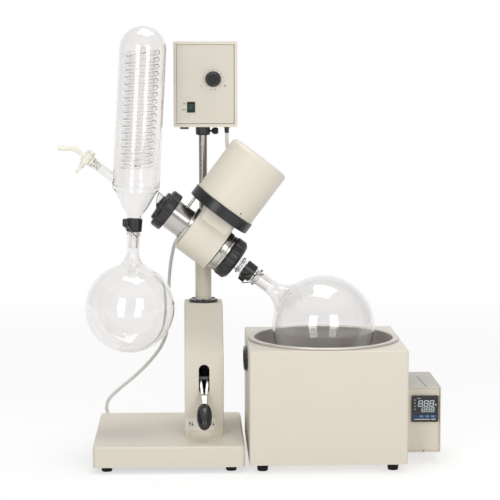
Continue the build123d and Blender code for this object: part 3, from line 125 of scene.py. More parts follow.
head = np.array(joints["head_tilt"]["pos_m"])
spindle_way = np.array(joints["spindle_turn"]["axis"])
motor_way = np.array(joints["motor_turn"]["axis"])
spindle = axes(head, spindle_way, (0, 1, 0))
motor = axes(np.array(joints["motor_turn"]["pos_m"]), motor_way, spindle_way)
lean = math.radians(3.2)
condenser_out = 153
condenser = axes(head + spindle_way * -condenser_out * MM, (math.sin(lean), 0, math.cos(lean)), (1, 0, 0))
base = axes(mast_axis, (0, 0, 1), (1, 0, 0))


def bench(x, y, z):
    """The frame's place of a point given in millimetres from the mast's foot."""
    return carried(np.array([x, y, z]) * MM, base)


def on_ring(axis, radius, angle, height):
    """The point at an angle on a ring round an axis, in millimetres."""
    return carried(np.array([radius * math.cos(angle), radius * math.sin(angle), height]) * MM, axis)


print("head at", head.round(4), "spindle", spindle_way.round(3), "motor", motor_way.round(3))

# %% [markdown]
# Two kinds of surface make almost everything. A lathe turns a profile round an axis,
# and a tube carries a circle along a path. Both are a grid of points, so one helper
# gives the faces of any grid.

# %% Grids, lathes and tubes as whole arrays


def grid_faces(rows, columns, closed_rows=False, closed_columns=True):
    """Quads of a grid of rows x columns points, wrapping where a direction is closed."""
    row = np.arange(rows if closed_rows else rows - 1)[:, None]
    column = np.arange(columns if closed_columns else columns - 1)[None, :]
    next_row = (row + 1) % rows
    next_column = (column + 1) % columns
    quads = np.stack([row * columns + column, row * columns + next_column,
                      next_row * columns + next_column, next_row * columns + column], axis=-1)
    return quads.reshape(-1, 4)


def rounded(profile, radius, steps=4, closed=True):
    """Replaces each corner C of a profile by (1-t)^2 A + 2t(1-t) C + t^2 B, A and B a radius away."""
    points = np.array(profile, float)
    before = np.roll(points, 1, axis=0) - points
    after = np.roll(points, -1, axis=0) - points
    room_before = np.linalg.norm(before, axis=1, keepdims=True)
    room_after = np.linalg.norm(after, axis=1, keepdims=True)
    cut = np.minimum(np.broadcast_to(np.reshape(radius, (-1, 1)), room_before.shape),
                     0.45 * np.minimum(room_before, room_after))
    start = points + before / room_before * cut
    end = points + after / room_after * cut
    t = np.linspace(0, 1, steps + 1)[None, :, None]
    curve = (1 - t) ** 2 * start[:, None] + 2 * t * (1 - t) * points[:, None] + t ** 2 * end[:, None]
    if closed:
        return curve.reshape(-1, 2)
    inner = curve[1:-1].reshape(-1, 2)
    return np.vstack([points[:1], inner, points[-1:]])


def mesh_piece(name, points, faces, material, body, stands_for=(), smooth=True):
    """Puts points and faces into a mesh object that rides on a body."""
    mesh = bpy.data.meshes.new(name)
    mesh.from_pydata(np.asarray(points).reshape(-1, 3), [], np.asarray(faces).tolist())
    work = bmesh.new()
    work.from_mesh(mesh)
    bmesh.ops.remove_doubles(work, verts=work.verts, dist=2e-6)
    bmesh.ops.recalc_face_normals(work, faces=work.faces)
    work.to_mesh(mesh)
    work.free()
    mesh.shade_smooth() if smooth else mesh.shade_flat()
    piece = placed(name, mesh)
    mesh.materials.append(material)
    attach(piece, body)
    if stands_for:
        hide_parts(*stands_for)
    if smooth:
        piece.modifiers.new("even shading", "WEIGHTED_NORMAL").weight = 80
    return piece


def lathe_points(profile, axis, around=96, ripple=None):
    """Points (r cos a, r sin a, z) of a profile; ripple(a, r, z) may change r."""
    profile = np.asarray(profile, float) * MM
    angle = np.arange(around) * 2 * np.pi / around
    radius = np.repeat(profile[:, :1], around, axis=1)
    height = np.repeat(profile[:, 1:], around, axis=1)
    if ripple is not None:
        radius = ripple(angle[None, :], radius / MM, height / MM) * MM
    local = np.stack([radius * np.cos(angle), radius * np.sin(angle), height], axis=-1)
    return carried(local.reshape(-1, 3), axis)


def lathe(name, profile, axis, material, body, stands_for=(), around=96, ripple=None):
    """A closed profile turned round an axis: every row of the grid is one ring."""
    points = lathe_points(profile, axis, around, ripple)
    faces = grid_faces(len(profile), around, closed_rows=True)
    return mesh_piece(name, points, faces, material, body, stands_for)


def tube_points(path, radius, around=20, up=(0, 1, 0)):
    """Circles round a path: centre + r (cos a . side + sin a . over), side = tangent x up."""
    path = np.asarray(path, float)
    tangent = np.gradient(path, axis=0)
    tangent /= np.linalg.norm(tangent, axis=1, keepdims=True)
    side = np.cross(tangent, np.broadcast_to(up, tangent.shape))
    side /= np.linalg.norm(side, axis=1, keepdims=True)
    over = np.cross(side, tangent)
    angle = np.arange(around) * 2 * np.pi / around
    radius = np.broadcast_to(np.reshape(radius, (-1, 1, 1)), (len(path), 1, 1))
    circle = np.cos(angle)[None, :, None] * side[:, None] + np.sin(angle)[None, :, None] * over[:, None]
    return path[:, None] + radius * circle


def tube(name, path, radius, material, body, stands_for=(), around=20, up=(0, 1, 0)):
    """A solid tube along a path, closed at both ends by a fan to the path's end."""
    rings = tube_points(path, radius, around, up)
    count = len(rings)
    points = np.vstack([rings.reshape(-1, 3), path[0], path[-1]])
    sides = grid_faces(count, around)
    here = np.arange(around)
    following = (here + 1) % around
    first = np.stack([np.full(around, count * around), following, here], axis=-1)
    last = np.stack([np.full(around, count * around + 1), (count - 1) * around + here,
                     (count - 1) * around + following], axis=-1)
    faces = sides.tolist() + first.tolist() + last.tolist()
    mesh_faces = np.empty(len(faces), object)
    mesh_faces[:] = faces
    return mesh_piece(name, points, mesh_faces, material, body, stands_for)


print("a test lathe has", len(grid_faces(10, 96, True)), "faces")

# %% [markdown]
# Every finish gets some life from two shared effects. The first, a shader node group,
# mottles the colour and the gloss a little and gives a fine grain as a bump. Paint,
# plastic and metal all use it with their own numbers, because no real surface is one
# flat colour. The second lays a thin dust on faces that look up.

# %% Node group: mottled skin


def socket(group, name, kind, way, value=None):
    """Makes a group socket and gives it its value."""
    made = group.interface.new_socket(name=name, in_out=way, socket_type="NodeSocket" + kind)
    if value is not None:
        made.default_value = value


def valued(node, values):
    """Gives a node's inputs their values."""
    for place, value in values.items():
        node.inputs[place].default_value = value
    return node


def added(tree, kind, values=None, operation=None):
    """A new shader node with its operation and the values of its inputs."""
    node = tree.nodes.new("ShaderNode" + kind)
    if operation:
        node.operation = operation
    return valued(node, values or {})


def linked(group, pairs):
    """Links (node, output) to (node, input) in a node tree."""
    for source, target in pairs:
        group.links.new(source[0].outputs[source[1]], target[0].inputs[target[1]])


skin = bpy.data.node_groups.new("mottled skin", "ShaderNodeTree")
for name, kind, value in (
        ("Colour", "Color", (0.8, 0.8, 0.8, 1)), ("Roughness", "Float", 0.5), ("Mottle", "Float", 0.05),
        ("Mottle Scale", "Float", 12.0), ("Grain Scale", "Float", 900.0), ("Grain", "Float", 0.1),
        ("Stretch", "Vector", (1, 1, 1))):
    socket(skin, name, kind, "INPUT", value)
for name, kind in (("Colour", "Color"), ("Roughness", "Float"), ("Normal", "Vector")):
    socket(skin, name, kind, "OUTPUT")
inputs = skin.nodes.new("NodeGroupInput")
outputs = skin.nodes.new("NodeGroupOutput")
place = added(skin, "TexCoord")
stretch = added(skin, "VectorMath", operation="MULTIPLY")
broad = added(skin, "TexNoise")
fine = added(skin, "TexNoise", {"Detail": 3})
centred = added(skin, "Math", {1: 0.5}, "SUBTRACT")
amount = added(skin, "Math", operation="MULTIPLY")
brighter = added(skin, "Math", {1: 1.0}, "ADD")
tinted = added(skin, "VectorMath", operation="SCALE")
gloss = added(skin, "Math", operation="ADD")
gloss.use_clamp = True
bump = added(skin, "Bump", {"Distance": 0.0002})
linked(skin, [((place, "Object"), (stretch, 0)), ((inputs, "Stretch"), (stretch, 1)),
              ((place, "Object"), (broad, "Vector")), ((inputs, "Mottle Scale"), (broad, "Scale")),
              ((stretch, 0), (fine, "Vector")), ((inputs, "Grain Scale"), (fine, "Scale")),
              ((broad, 0), (centred, 0)), ((centred, 0), (amount, 0)), ((inputs, "Mottle"), (amount, 1)),
              ((amount, 0), (brighter, 0)), ((inputs, "Colour"), (tinted, 0)),
              ((brighter, 0), (tinted, "Scale")), ((tinted, 0), (outputs, "Colour")),
              ((inputs, "Roughness"), (gloss, 0)), ((amount, 0), (gloss, 1)),
              ((gloss, 0), (outputs, "Roughness")), ((fine, 0), (bump, "Height")),
              ((inputs, "Grain"), (bump, "Strength")), ((bump, "Normal"), (outputs, "Normal"))])
print("mottled skin has", len(skin.nodes), "nodes")

# %% Node group: settled dust
dust = bpy.data.node_groups.new("settled dust", "ShaderNodeTree")
socket(dust, "Colour", "Color", "INPUT", (0.8, 0.8, 0.8, 1))
socket(dust, "Amount", "Float", "INPUT", 0.1)
socket(dust, "Colour", "Color", "OUTPUT")
dust_in = dust.nodes.new("NodeGroupInput")
dust_out = dust.nodes.new("NodeGroupOutput")
facing = added(dust, "NewGeometry")
parts = added(dust, "SeparateXYZ")
upward = added(dust, "Math", operation="MULTIPLY")
upward.use_clamp = True
# A Mix node has sockets for each kind of data; these are the places of its colours.
mix_colour_a, mix_colour_b, mix_colour_out = 6, 7, 2
cover = dust.nodes.new("ShaderNodeMix")
cover.data_type = "RGBA"
cover.inputs[mix_colour_b].default_value = (0.62, 0.60, 0.56, 1)
linked(dust, [((facing, "Normal"), (parts, 0)), ((parts, "Z"), (upward, 0)),
              ((dust_in, "Amount"), (upward, 1)), ((upward, 0), (cover, "Factor")),
              ((dust_in, "Colour"), (cover, mix_colour_a)),
              ((cover, mix_colour_out), (dust_out, "Colour"))])
print("settled dust has", len(dust.nodes), "nodes")

# %% [markdown]
# A colour read from a photograph is in display values, while a shader mixes light in
# linear ones, so each colour is turned over once. A small function then builds a
# material round Blender's Principled shader and names every number that makes one
# finish differ from another.

# %% Materials


def linear(red, green, blue):
    """Display colour 0..255 as linear light: ((c + 0.055) / 1.055) ^ 2.4."""
    value = np.array([red, green, blue]) / 255
    light = np.where(value <= 0.04045, value / 12.92, ((value + 0.055) / 1.055) ** 2.4)
    return (*[float(v) for v in light], 1.0)


def finish(name, colour, roughness, metallic=0.0, mottle=0.05, mottle_scale=12.0, grain=0.1,
           grain_scale=900.0, stretch=(1, 1, 1), dusty=0.0, **plain):
    """A Principled material with the mottled skin, and dust where it is asked for."""
    material = bpy.data.materials.new(name)
    material.use_nodes = True
    tree = material.node_tree
    shader = tree.nodes["Principled BSDF"]
    shader.inputs["Metallic"].default_value = metallic
    for word, value in plain.items():
        shader.inputs[word.replace("_", " ")].default_value = value
    surface = tree.nodes.new("ShaderNodeGroup")
    surface.node_tree = skin
    valued(surface, {"Colour": colour, "Roughness": roughness, "Mottle": mottle, "Mottle Scale": mottle_scale,
                     "Grain": grain, "Grain Scale": grain_scale, "Stretch": stretch})
    source = surface
    if dusty:
        source = tree.nodes.new("ShaderNodeGroup")
        source.node_tree = dust
        source.inputs["Amount"].default_value = dusty
        tree.links.new(surface.outputs["Colour"], source.inputs["Colour"])
    tree.links.new(source.outputs["Colour"], shader.inputs["Base Color"])
    tree.links.new(surface.outputs["Roughness"], shader.inputs["Roughness"])
    tree.links.new(surface.outputs["Normal"], shader.inputs["Normal"])
    return material


beige = finish("beige powder coat", linear(226, 219, 204), 0.42, mottle=0.04, grain=0.25, grain_scale=1400)
mast_paint = finish("mast paint", linear(210, 203, 186), 0.4, mottle=0.05, grain=0.2, grain_scale=1400)
# The controller's lid is the same beige sheet as the case; its grey is painted shade, the top drawn darker as
# it looks under the lights.
lid_grey_painted_shade = finish("beige coat greyed as painted shade", linear(190, 185, 177), 0.42, mottle=0.04, grain=0.25, grain_scale=1400)
panel_paint = finish("panel paint", linear(219, 212, 199), 0.5, mottle=0.05, grain=0.3, grain_scale=1600)
black_moulding = finish("black moulding", linear(31, 30, 31), 0.32, mottle=0.12, grain=0.2, dusty=0.01,
                        Specular_IOR_Level=0.55)
black_gloss = finish("black gloss plastic", linear(28, 27, 29), 0.24, mottle=0.05, grain=0.03, dusty=0.01,
                     Specular_IOR_Level=0.6)
black_rubber = finish("black rubber", linear(28, 28, 28), 0.75, mottle=0.2, grain=0.5, dusty=0.04,
                      Specular_IOR_Level=0.25)
bright_steel = finish("bright steel", linear(206, 204, 200), 0.13, metallic=1.0, mottle=0.06, grain=0.04,
                      grain_scale=1200)
# The post is the same polished steel as the bright parts; its lower colour is a painted reflection, so the
# post looks as dark as the surroundings that it mirrors.
post_steel_painted_dark = finish("polished steel with painted dark reflection", linear(152, 145, 139), 0.16, metallic=1.0, mottle=0.06, grain=0.04,
                    grain_scale=1200)
turned_steel = finish("turned steel", linear(196, 193, 188), 0.26, metallic=1.0, mottle=0.08, grain=0.12,
                      grain_scale=700)
bath_steel = finish("drawn bath steel", linear(212, 207, 200), 0.38, metallic=0.45, mottle=0.08, grain=0.3,
                    grain_scale=260, stretch=(1, 1, 8))
dark_steel = finish("oiled steel", linear(110, 110, 114), 0.35, metallic=1.0, mottle=0.15, grain=0.2)
spring_wire = finish("spring wire", linear(124, 122, 118), 0.3, metallic=1.0, mottle=0.05, grain=0.05)
screw_black = finish("blackened screw", linear(26, 26, 28), 0.4, metallic=0.6, mottle=0.1, grain=0.1)
cream_polymer = finish("cream polymer", linear(240, 236, 222), 0.45, mottle=0.05, grain=0.1,
                       Subsurface_Weight=0.08)
green_rocker = finish("green rocker", linear(16, 66, 52), 0.22, mottle=0.08, grain=0.03)
blue_key = finish("blue key", linear(96, 140, 178), 0.35, mottle=0.05, grain=0.05)
label_white = finish("printed white", linear(236, 234, 226), 0.5, mottle=0.03, grain=0.1)
label_ink = finish("printed ink", linear(46, 46, 50), 0.5, mottle=0.05, grain=0.1)
# The gap colour is painted shade for dark gaps and lines; the fuse holder wears it too.
panel_gap = finish("shadow gap", linear(104, 98, 88), 0.6, mottle=0.1, grain=0.1)
digit_glow = finish("pale digits", linear(206, 220, 226), 0.4, mottle=0.05, grain=0.05)
strip_blue = finish("dark blue strip", linear(30, 62, 104), 0.35, mottle=0.06, grain=0.05)
cord_sleeve = finish("cord sleeve", linear(226, 224, 218), 0.5, mottle=0.04, grain=0.3, grain_scale=1200)
glass = finish("laboratory glass", (0.935, 0.926, 0.92, 1), 0.005, mottle=0.01, mottle_scale=5, grain=0.01,
               grain_scale=30, Transmission_Weight=1.0, IOR=1.47)
coil_glass = finish("thin coil glass", (0.99, 0.988, 0.985, 1), 0.005, mottle=0.01, mottle_scale=5,
                    grain=0.01, grain_scale=30, Transmission_Weight=1.0, IOR=1.17)
print("materials", len(bpy.data.materials))

# %% [markdown]
# The photograph has an even white surround. The camera and the glass see a white world,
# and the paint gets nearly half of that as light. Polished steel needs something darker
# to mirror, or it looks like paint. So for glossy rays the world is dark in front, as a
# studio is on the side where the camera and the open room are, and white behind and above.

# %% Light, surround and floor
bpy.context.scene.view_settings.view_transform = "Standard"
world = bpy.data.worlds.new("white surround")
bpy.context.scene.world = world
world.use_nodes = True
sky = world.node_tree
background = sky.nodes["Background"]
ray_kind = added(sky, "LightPath")
direction = added(sky, "TexCoord")
split = added(sky, "SeparateXYZ")
behind = added(sky, "MapRange", {"From Min": 0.55, "From Max": 0.9, "To Min": 0.16})
above = added(sky, "MapRange", {"From Min": 0.45, "From Max": 0.75, "To Max": 0.85})
mirrored = added(sky, "Math", operation="MAXIMUM")
in_mirrors = added(sky, "MapRange", {"To Min": 0.46})
seen = added(sky, "Math", operation="MAXIMUM")
level = added(sky, "MapRange", {"To Max": 1.0})
linked(sky, [((direction, "Generated"), (split, 0)), ((split, "Y"), (behind, "Value")),
             ((split, "Z"), (above, "Value")), ((behind, 0), (mirrored, 0)), ((above, 0), (mirrored, 1)),
             ((ray_kind, "Is Glossy Ray"), (in_mirrors, "Value")), ((mirrored, 0), (in_mirrors, "To Max")),
             ((ray_kind, "Is Camera Ray"), (seen, 0)), ((ray_kind, "Is Transmission Ray"), (seen, 1)),
             ((seen, 0), (level, "Value")), ((in_mirrors, 0), (level, "To Min")),
             ((level, 0), (background, "Strength"))])
background.inputs["Color"].default_value = (1, 1, 1, 1)


def soft_lamp(name, place, target, width, height, power):
    """A rectangular softbox aimed at a point."""
    data = bpy.data.lights.new(name, "AREA")
    data.shape = "RECTANGLE"
    data.size = width
    data.size_y = height
    data.energy = power
    lamp = placed(name, data)
    lamp.location = place
    lamp.rotation_euler = (Vector(target) - Vector(place)).to_track_quat("-Z", "Y").to_euler()


soft_lamp("left softbox", (-1.0, -2.1, 1.0), (0, 0, 0.35), 0.8, 1.3, 13)
soft_lamp("right softbox", (0.95, -2.1, 1.0), (0, 0, 0.35), 0.8, 1.3, 13)
soft_lamp("top softbox", (0.1, 0.2, 2.4), (0, 0, 0.3), 1.4, 1.4, 20)

floor_mesh = bpy.data.meshes.new("floor")
floor_mesh.from_pydata([(-9, -9, 0), (9, -9, 0), (9, 9, 0), (-9, 9, 0)], [], [(0, 1, 2, 3)])
floor = placed("floor", floor_mesh)
floor.location.z = -0.0004
floor_paint = bpy.data.materials.new("white floor")
floor_paint.use_nodes = True
floor_tree = floor_paint.node_tree
floor_shader = valued(floor_tree.nodes["Principled BSDF"],
                      {"Base Color": (0.9, 0.9, 0.9, 1), "Roughness": 0.9})
ray = added(floor_tree, "LightPath")
looked_at = added(floor_tree, "Math", operation="MAXIMUM")
looked_at_all = added(floor_tree, "Math", operation="MAXIMUM")
shine = added(floor_tree, "MapRange", {"To Min": 0.55, "To Max": 1.2})
glow = added(floor_tree, "Emission")
both = added(floor_tree, "MixShader", {0: 0.5})
where = added(floor_tree, "NewGeometry")
away = added(floor_tree, "VectorMath", operation="LENGTH")
far = added(floor_tree, "MapRange", {"From Min": 0.7, "From Max": 2.2})
white = added(floor_tree, "Emission")
whole = added(floor_tree, "MixShader")
linked(floor_tree, [((ray, "Is Camera Ray"), (looked_at, 0)), ((ray, "Is Glossy Ray"), (looked_at, 1)),
                    ((looked_at, 0), (looked_at_all, 0)), ((ray, "Is Transmission Ray"), (looked_at_all, 1)),
                    ((looked_at_all, 0), (shine, "Value")), ((shine, 0), (glow, "Strength")),
                    ((floor_shader, "BSDF"), (both, 1)), ((glow, "Emission"), (both, 2)),
                    ((where, "Position"), (away, 0)), ((away, "Value"), (far, "Value")),
                    ((far, 0), (whole, 0)), ((both, 0), (whole, 1)), ((white, "Emission"), (whole, 2)),
                    ((whole, 0), (floor_tree.nodes["Material Output"], "Surface"))])
floor_mesh.materials.append(floor_paint)

# %% [markdown]
# The mains cord hangs from the control box behind the machine and lies down behind the
# base, where its spare length is put away as a coil. A cord is one smooth curve: the
# points of its route are pulled together by a NURBS spline, and the coil's turns are
# more points of the same spline, worked out by a formula.

# %% The mains cord and its coil
cord_radius = 3.25
gland_low = 592.5
cord_route = [
    (44.4, 14, gland_low), (44.4, 14, 567), (51, 25, 532), (49, 44, 487), (22, 56, 446), (-20, 60, 424),
    (-51, 62, 394), (-62, 66, 346), (-66, 75, 294), (-66, 85, 240), (-71, 95, 194), (-94, 111, 155),
    (-131, 132, 114), (-168, 150, 82), (-191, 163, 57), (-191, 174, 28), (-170, 182, 9),
    (-143.3, 187.25, 3.3), (-116.3, 187.25, 3.3)]
coil_centre = np.array([-100.0, 145.0])
coil_middle = 39.0
turn_points = 16


def coil_turns():
    """Points of four turns: r and z follow the turn's number, and the angle falls evenly."""
    count = 4 * turn_points + 2
    turns = np.arange(1, count) / turn_points
    angle = np.pi / 2 - turns * 2 * np.pi
    outer, inner = coil_middle + cord_radius, coil_middle - cord_radius
    radius = np.interp(turns, [0, 0.8, 1.15, 2.8, 3.15, 4.1],
                       [outer, outer, inner, inner, outer, coil_middle + 2.4])
    height = np.interp(turns, [0, 1.85, 2.15, 4.1], [3.3, 3.3, 9.8, 9.8])
    return np.stack([coil_centre[0] + radius * np.cos(angle),
                     coil_centre[1] + radius * np.sin(angle), height], -1)


plug_turn = math.radians(-30)
plug_way = np.array([math.cos(plug_turn), math.sin(plug_turn)])
plug_side = np.array([-plug_way[1], plug_way[0]])
coil_outside = coil_middle + 2 * cord_radius
plug_reach = math.sqrt(coil_outside ** 2 - coil_middle ** 2)
lead_out = [np.append(coil_centre + plug_side * coil_middle + plug_way * reach, 10.4)
            for reach in (plug_reach * 0.5, plug_reach + 2)]
cord_points = carried(np.vstack([cord_route, coil_turns(), lead_out]) * MM, base)
cord_curve = bpy.data.curves.new("mains_lead", "CURVE")
cord_curve.dimensions = "3D"
cord_curve.bevel_depth = cord_radius * MM
cord_curve.bevel_resolution = 5
cord_curve.resolution_u = 6
cord_curve.use_fill_caps = True
spline = cord_curve.splines.new("NURBS")
spline.points.add(len(cord_points) - 1)
spline.points.foreach_set("co", np.hstack([cord_points, np.ones((len(cord_points), 1))]).ravel())
spline.order_u = 3
spline.use_endpoint_u = True
mains_lead = placed("mains_lead", cord_curve)
cord_curve.materials.append(cord_sleeve)
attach(mains_lead, "stand")
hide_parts("mains_cord", "mains_cord_coil")
print("cord points", len(cord_points), "straight sum", round(float(np.linalg.norm(
    np.diff(cord_points, axis=0), axis=1).sum()), 3))

# %% [markdown]
# The two flasks are blown glass: a ball, a neck, and a flare that joins them. Seen
# from the side, the flare is an arc that touches both the neck's straight line and the
# ball's circle, so its centre lies one flare radius outside the neck and one outside
# the ball. The inner skin is the same outline moved in by the wall. Glass needs both
# skins, because light bends where it enters and again where it leaves.

# %% Flask outlines from two touching circles
glass_wall = 2.2


def arc(centre, radius, start, end, count):
    """Points of an arc: centre + radius (cos a, sin a), a from start to end in radians."""
    angle = np.linspace(start, end, count)
    return np.stack([centre[0] + radius * np.cos(angle), centre[1] + radius * np.sin(angle)], axis=-1)


def flask_side(radius, neck, flare, top, inset):
    """Side of a flask from the neck's top to the ball's pole, moved in by inset."""
    across = neck + flare
    up = math.sqrt((radius + flare) ** 2 - across ** 2)
    touch = math.atan2(up, across)
    bend = arc((across, up), flare + inset, math.pi, math.pi + touch, 24)
    ball = arc((0, 0), radius - inset, touch, -math.pi / 2, 90)
    ball[-1, 0] = 0.001
    return np.vstack([[neck - inset, top], bend, ball[1:]])


def flask_profile(radius, neck, flare, top, rim_radius, rim_at):
    """Closed outline: outer side with a bead at the rim, then the inner side back up."""
    outer = flask_side(radius, neck, flare, top, 0)
    bead = neck + (rim_radius - neck) * np.sin(np.linspace(0, np.pi, 11)) ** 0.7
    heights = rim_at + 2.6 * np.cos(np.linspace(0, np.pi, 11))
    inner = flask_side(radius, neck, flare, top, glass_wall)[::-1]
    return np.vstack([outer[:1], np.stack([bead, heights], -1), outer[1:], inner])


# %% The evaporating flask and the receiving flask
flask_at, flask_radius, flask_neck = 275.0, 94.0, 14.0
flask_axis = (stepped(spindle, flask_at * MM)[0], spindle[1] * np.array([[1], [-1], [-1]]))
evaporating = flask_profile(flask_radius, flask_neck, 40, flask_at - 120.5, 17.2, flask_at - 122.5)
lathe("turning_flask", evaporating, flask_axis, glass, "spindle", ["evaporating_flask"], 128)
receiver_at, receiver_radius = -222.0, 81.5
receiver_axis = stepped(condenser, receiver_at * MM)
receiving = flask_profile(receiver_radius, 11.5, 30, -84.5 - receiver_at, 13.2, -86.5 - receiver_at)
lathe("catch_flask", receiving, receiver_axis, glass, "head", ["receiving_flask"], 128)
print("flask outline points", len(evaporating), len(receiving))

# %% [markdown]
# The condenser is one glass body: a dome, a straight jacket, a cone and a stem. The
# arm, the feed port and the two water ports are tubes that start on its skin. To seat
# such a tube, each of its lines is cut where it meets the jacket's cylinder, and the
# distance comes from a quadratic equation that numpy solves for all lines at once.

# %% The condenser's body
jacket_radius, dome_at, stem_low = 42.5, 248.5, -111.0
jacket_bore = jacket_radius - glass_wall
outer_jacket = np.vstack([
    [[8.1, stem_low], [9.1, -84.5], [11.5, -83.5], [11.5, -56], [14, -53], [14.2, -50]],
    [[24, -36.5], [37.5, -9], [41.6, -4.5], [43.3, -2], [43.3, 2], [42.5, 4.5]],
    [[jacket_radius, 20], [jacket_radius, 120], [jacket_radius, 200]],
    arc((0, dome_at), jacket_radius, 0, math.pi / 2, 30)])
outer_jacket[-1, 0] = 0.001
inner_jacket = np.vstack([
    arc((0, dome_at), jacket_bore, math.pi / 2, 0, 30),
    [[jacket_bore, 200], [jacket_bore, 120], [jacket_bore, 0]],
    [[35, -10.5], [22, -35], [12, -49], [9.3, -54], [9.0, -80], [5.9, -86], [5.9, stem_low]]])
inner_jacket[0, 0] = 0.001
lathe("condenser_glass", np.vstack([outer_jacket, inner_jacket]), condenser, glass, "head",
      ["condenser_jacket"], 128)


def seated_tube(name, axis, profile, around=64):
    """A glass tube whose last rows are moved along its axis on to the jacket's skin."""
    points = lathe_points(profile, axis, around).reshape(len(profile), around, 3)
    origin, matrix = condenser
    seat = points[[0, -1]]
    local = (seat - origin) @ matrix.T
    way = axis[1][2] @ matrix.T
    a = way[0] ** 2 + way[1] ** 2
    b = local[..., 0] * way[0] + local[..., 1] * way[1]
    c = local[..., 0] ** 2 + local[..., 1] ** 2 - ((jacket_radius - 0.6) * MM) ** 2
    reach = (-b + np.sqrt(np.maximum(b * b - a * c, 0))) / a
    points[[0, -1]] = seat + reach[..., None] * axis[1][2]
    faces = grid_faces(len(profile), around, closed_rows=True)
    return mesh_piece(name, points, faces, glass, "head")


arm_axis = axes(condenser[0], spindle_way, (0, 1, 0))
arm_end = condenser_out - 82.3
arm = seated_tube("vapour_arm", arm_axis, [
    (18, 20), (18, arm_end - 8), (19, arm_end - 6), (23, arm_end - 5), (23.5, arm_end - 4.4),
    (23.5, arm_end - 0.6), (22.9, arm_end), (16.2, arm_end), (15.8, arm_end - 1), (15.8, 20)])
feed_slope = math.radians(38)
feed_way = np.array([-math.cos(feed_slope), 0, math.sin(feed_slope)])
feed_origin = stepped(condenser, 12 * MM)[0] - np.array([36.5 * MM, 0, 0])
feed_axis = axes(feed_origin, feed_way, (0, 1, 0))
feed_port = seated_tube("feed_port", feed_axis, [
    (8.5, 6), (8.5, 40), (9.3, 41.5), (9.3, 52), (8.9, 54), (6.3, 54), (6.3, 41), (6.3, 6)], 48)
coil_low, coil_pitch, coil_count = 34.0, 12.6, 17
coil_high = coil_low + coil_pitch * coil_count
for number, height in enumerate((coil_low, coil_high), 1):
    start = stepped(condenser, height * MM)[0]
    seated_tube(f"water_port_{number}", axes(start, (0, 1, 0), (1, 0, 0)), [
        (6, 41), (6, 48), (6.9, 50), (5.4, 52.5), (6.7, 54), (5.2, 56.5), (5.6, 58.9), (3.4, 58.9),
        (3.4, 41)], 40)
print("arm", arm.name, "feed", feed_port.name)

# %% [markdown]
# Inside the jacket a glass tube is wound as a spring. Its middle line is a helix, and
# round it go two skins, one for the outside of the tube and one for its bore. The
# helix turns steadily, so the circles are set up from its own tangent and never twist.

# %% The cooling coil
coil_radius, coil_tube, coil_bore = 26.7, 4.8, 3.5
steps_per_turn = 36
turn = np.linspace(0, coil_count, coil_count * steps_per_turn + 1)
coil_angle = 2 * np.pi * turn + np.pi / 2
helix = np.stack([coil_radius * np.cos(coil_angle), coil_radius * np.sin(coil_angle),
                  coil_low + coil_pitch * turn], -1)
lead = np.array([[0.0, 38.0, 0.0], [0.6, 33.0, 0.0]])
helix = np.vstack([lead + [0, 0, coil_low], helix[1:-1], lead[::-1] * [-1, 1, 1] + [0, 0, coil_high]])
coil_path = carried(helix * MM, condenser)
coil_sides = 14
outer_rings = tube_points(coil_path, coil_tube * MM, coil_sides, condenser[1][2])
inner_rings = tube_points(coil_path, coil_bore * MM, coil_sides, condenser[1][2])[::-1]
rings = np.concatenate([outer_rings, inner_rings])
cooling_coil = mesh_piece("cooling_coil", rings, grid_faces(len(rings), coil_sides, closed_rows=True),
                          coil_glass, "head", ["condenser_coil"])
print("coil faces", len(cooling_coil.data.polygons))

# %% [markdown]
# The vapour tube is ground glass from end to end: a flange that the black nut grips, a
# ring, and a cone that seals in the flask's neck. All its steps are in one profile, and
# the corners are rounded as a flame would leave them.

# %% The vapour tube
tube_profile = [(12, -86), (12, 65), (16.2, 66), (16.2, 70), (13.5, 70.6), (13.5, 82), (16.2, 83), (16.2, 86),
                (13.5, 87), (13.5, 115), (11.6, 118), (10.8, 150), (8.8, 150), (10, 118), (10, 0), (10, -86)]
vapour_tube = lathe("vapour_pipe", rounded(tube_profile, 0.6, 3), spindle, glass, "spindle",
                    ["vapour_tube"], 72)
print("vapour pipe", len(vapour_tube.data.polygons))

# %% [markdown]
# Knobs and nuts are turned first and then scalloped. A scallop is a round cutter of
# radius q whose centre lies at distance c from the axis. Along the direction at angle d
# from the cutter, the cutter's near side is at c cos d - sqrt(q^2 - c^2 sin^2 d), and
# the piece's radius is whichever is less, its own or that.

# %% Scalloped grips


def scallops(count, centre, cutter, low, high, turned_by=0.0):
    """Ripple that cuts count scallops into all rings between two heights."""
    def ripple(angle, radius, height):
        step = 2 * np.pi / count
        from_cutter = (angle - turned_by + step / 2) % step - step / 2
        inside = np.abs(centre * np.sin(from_cutter)) < cutter
        depth = np.sqrt(np.maximum(cutter ** 2 - (centre * np.sin(from_cutter)) ** 2, 0))
        near = np.where(inside, centre * np.cos(from_cutter) - depth, 1e3)
        cut = np.minimum(radius, near)
        return np.where((height > low) & (height < high), cut, radius)
    return ripple


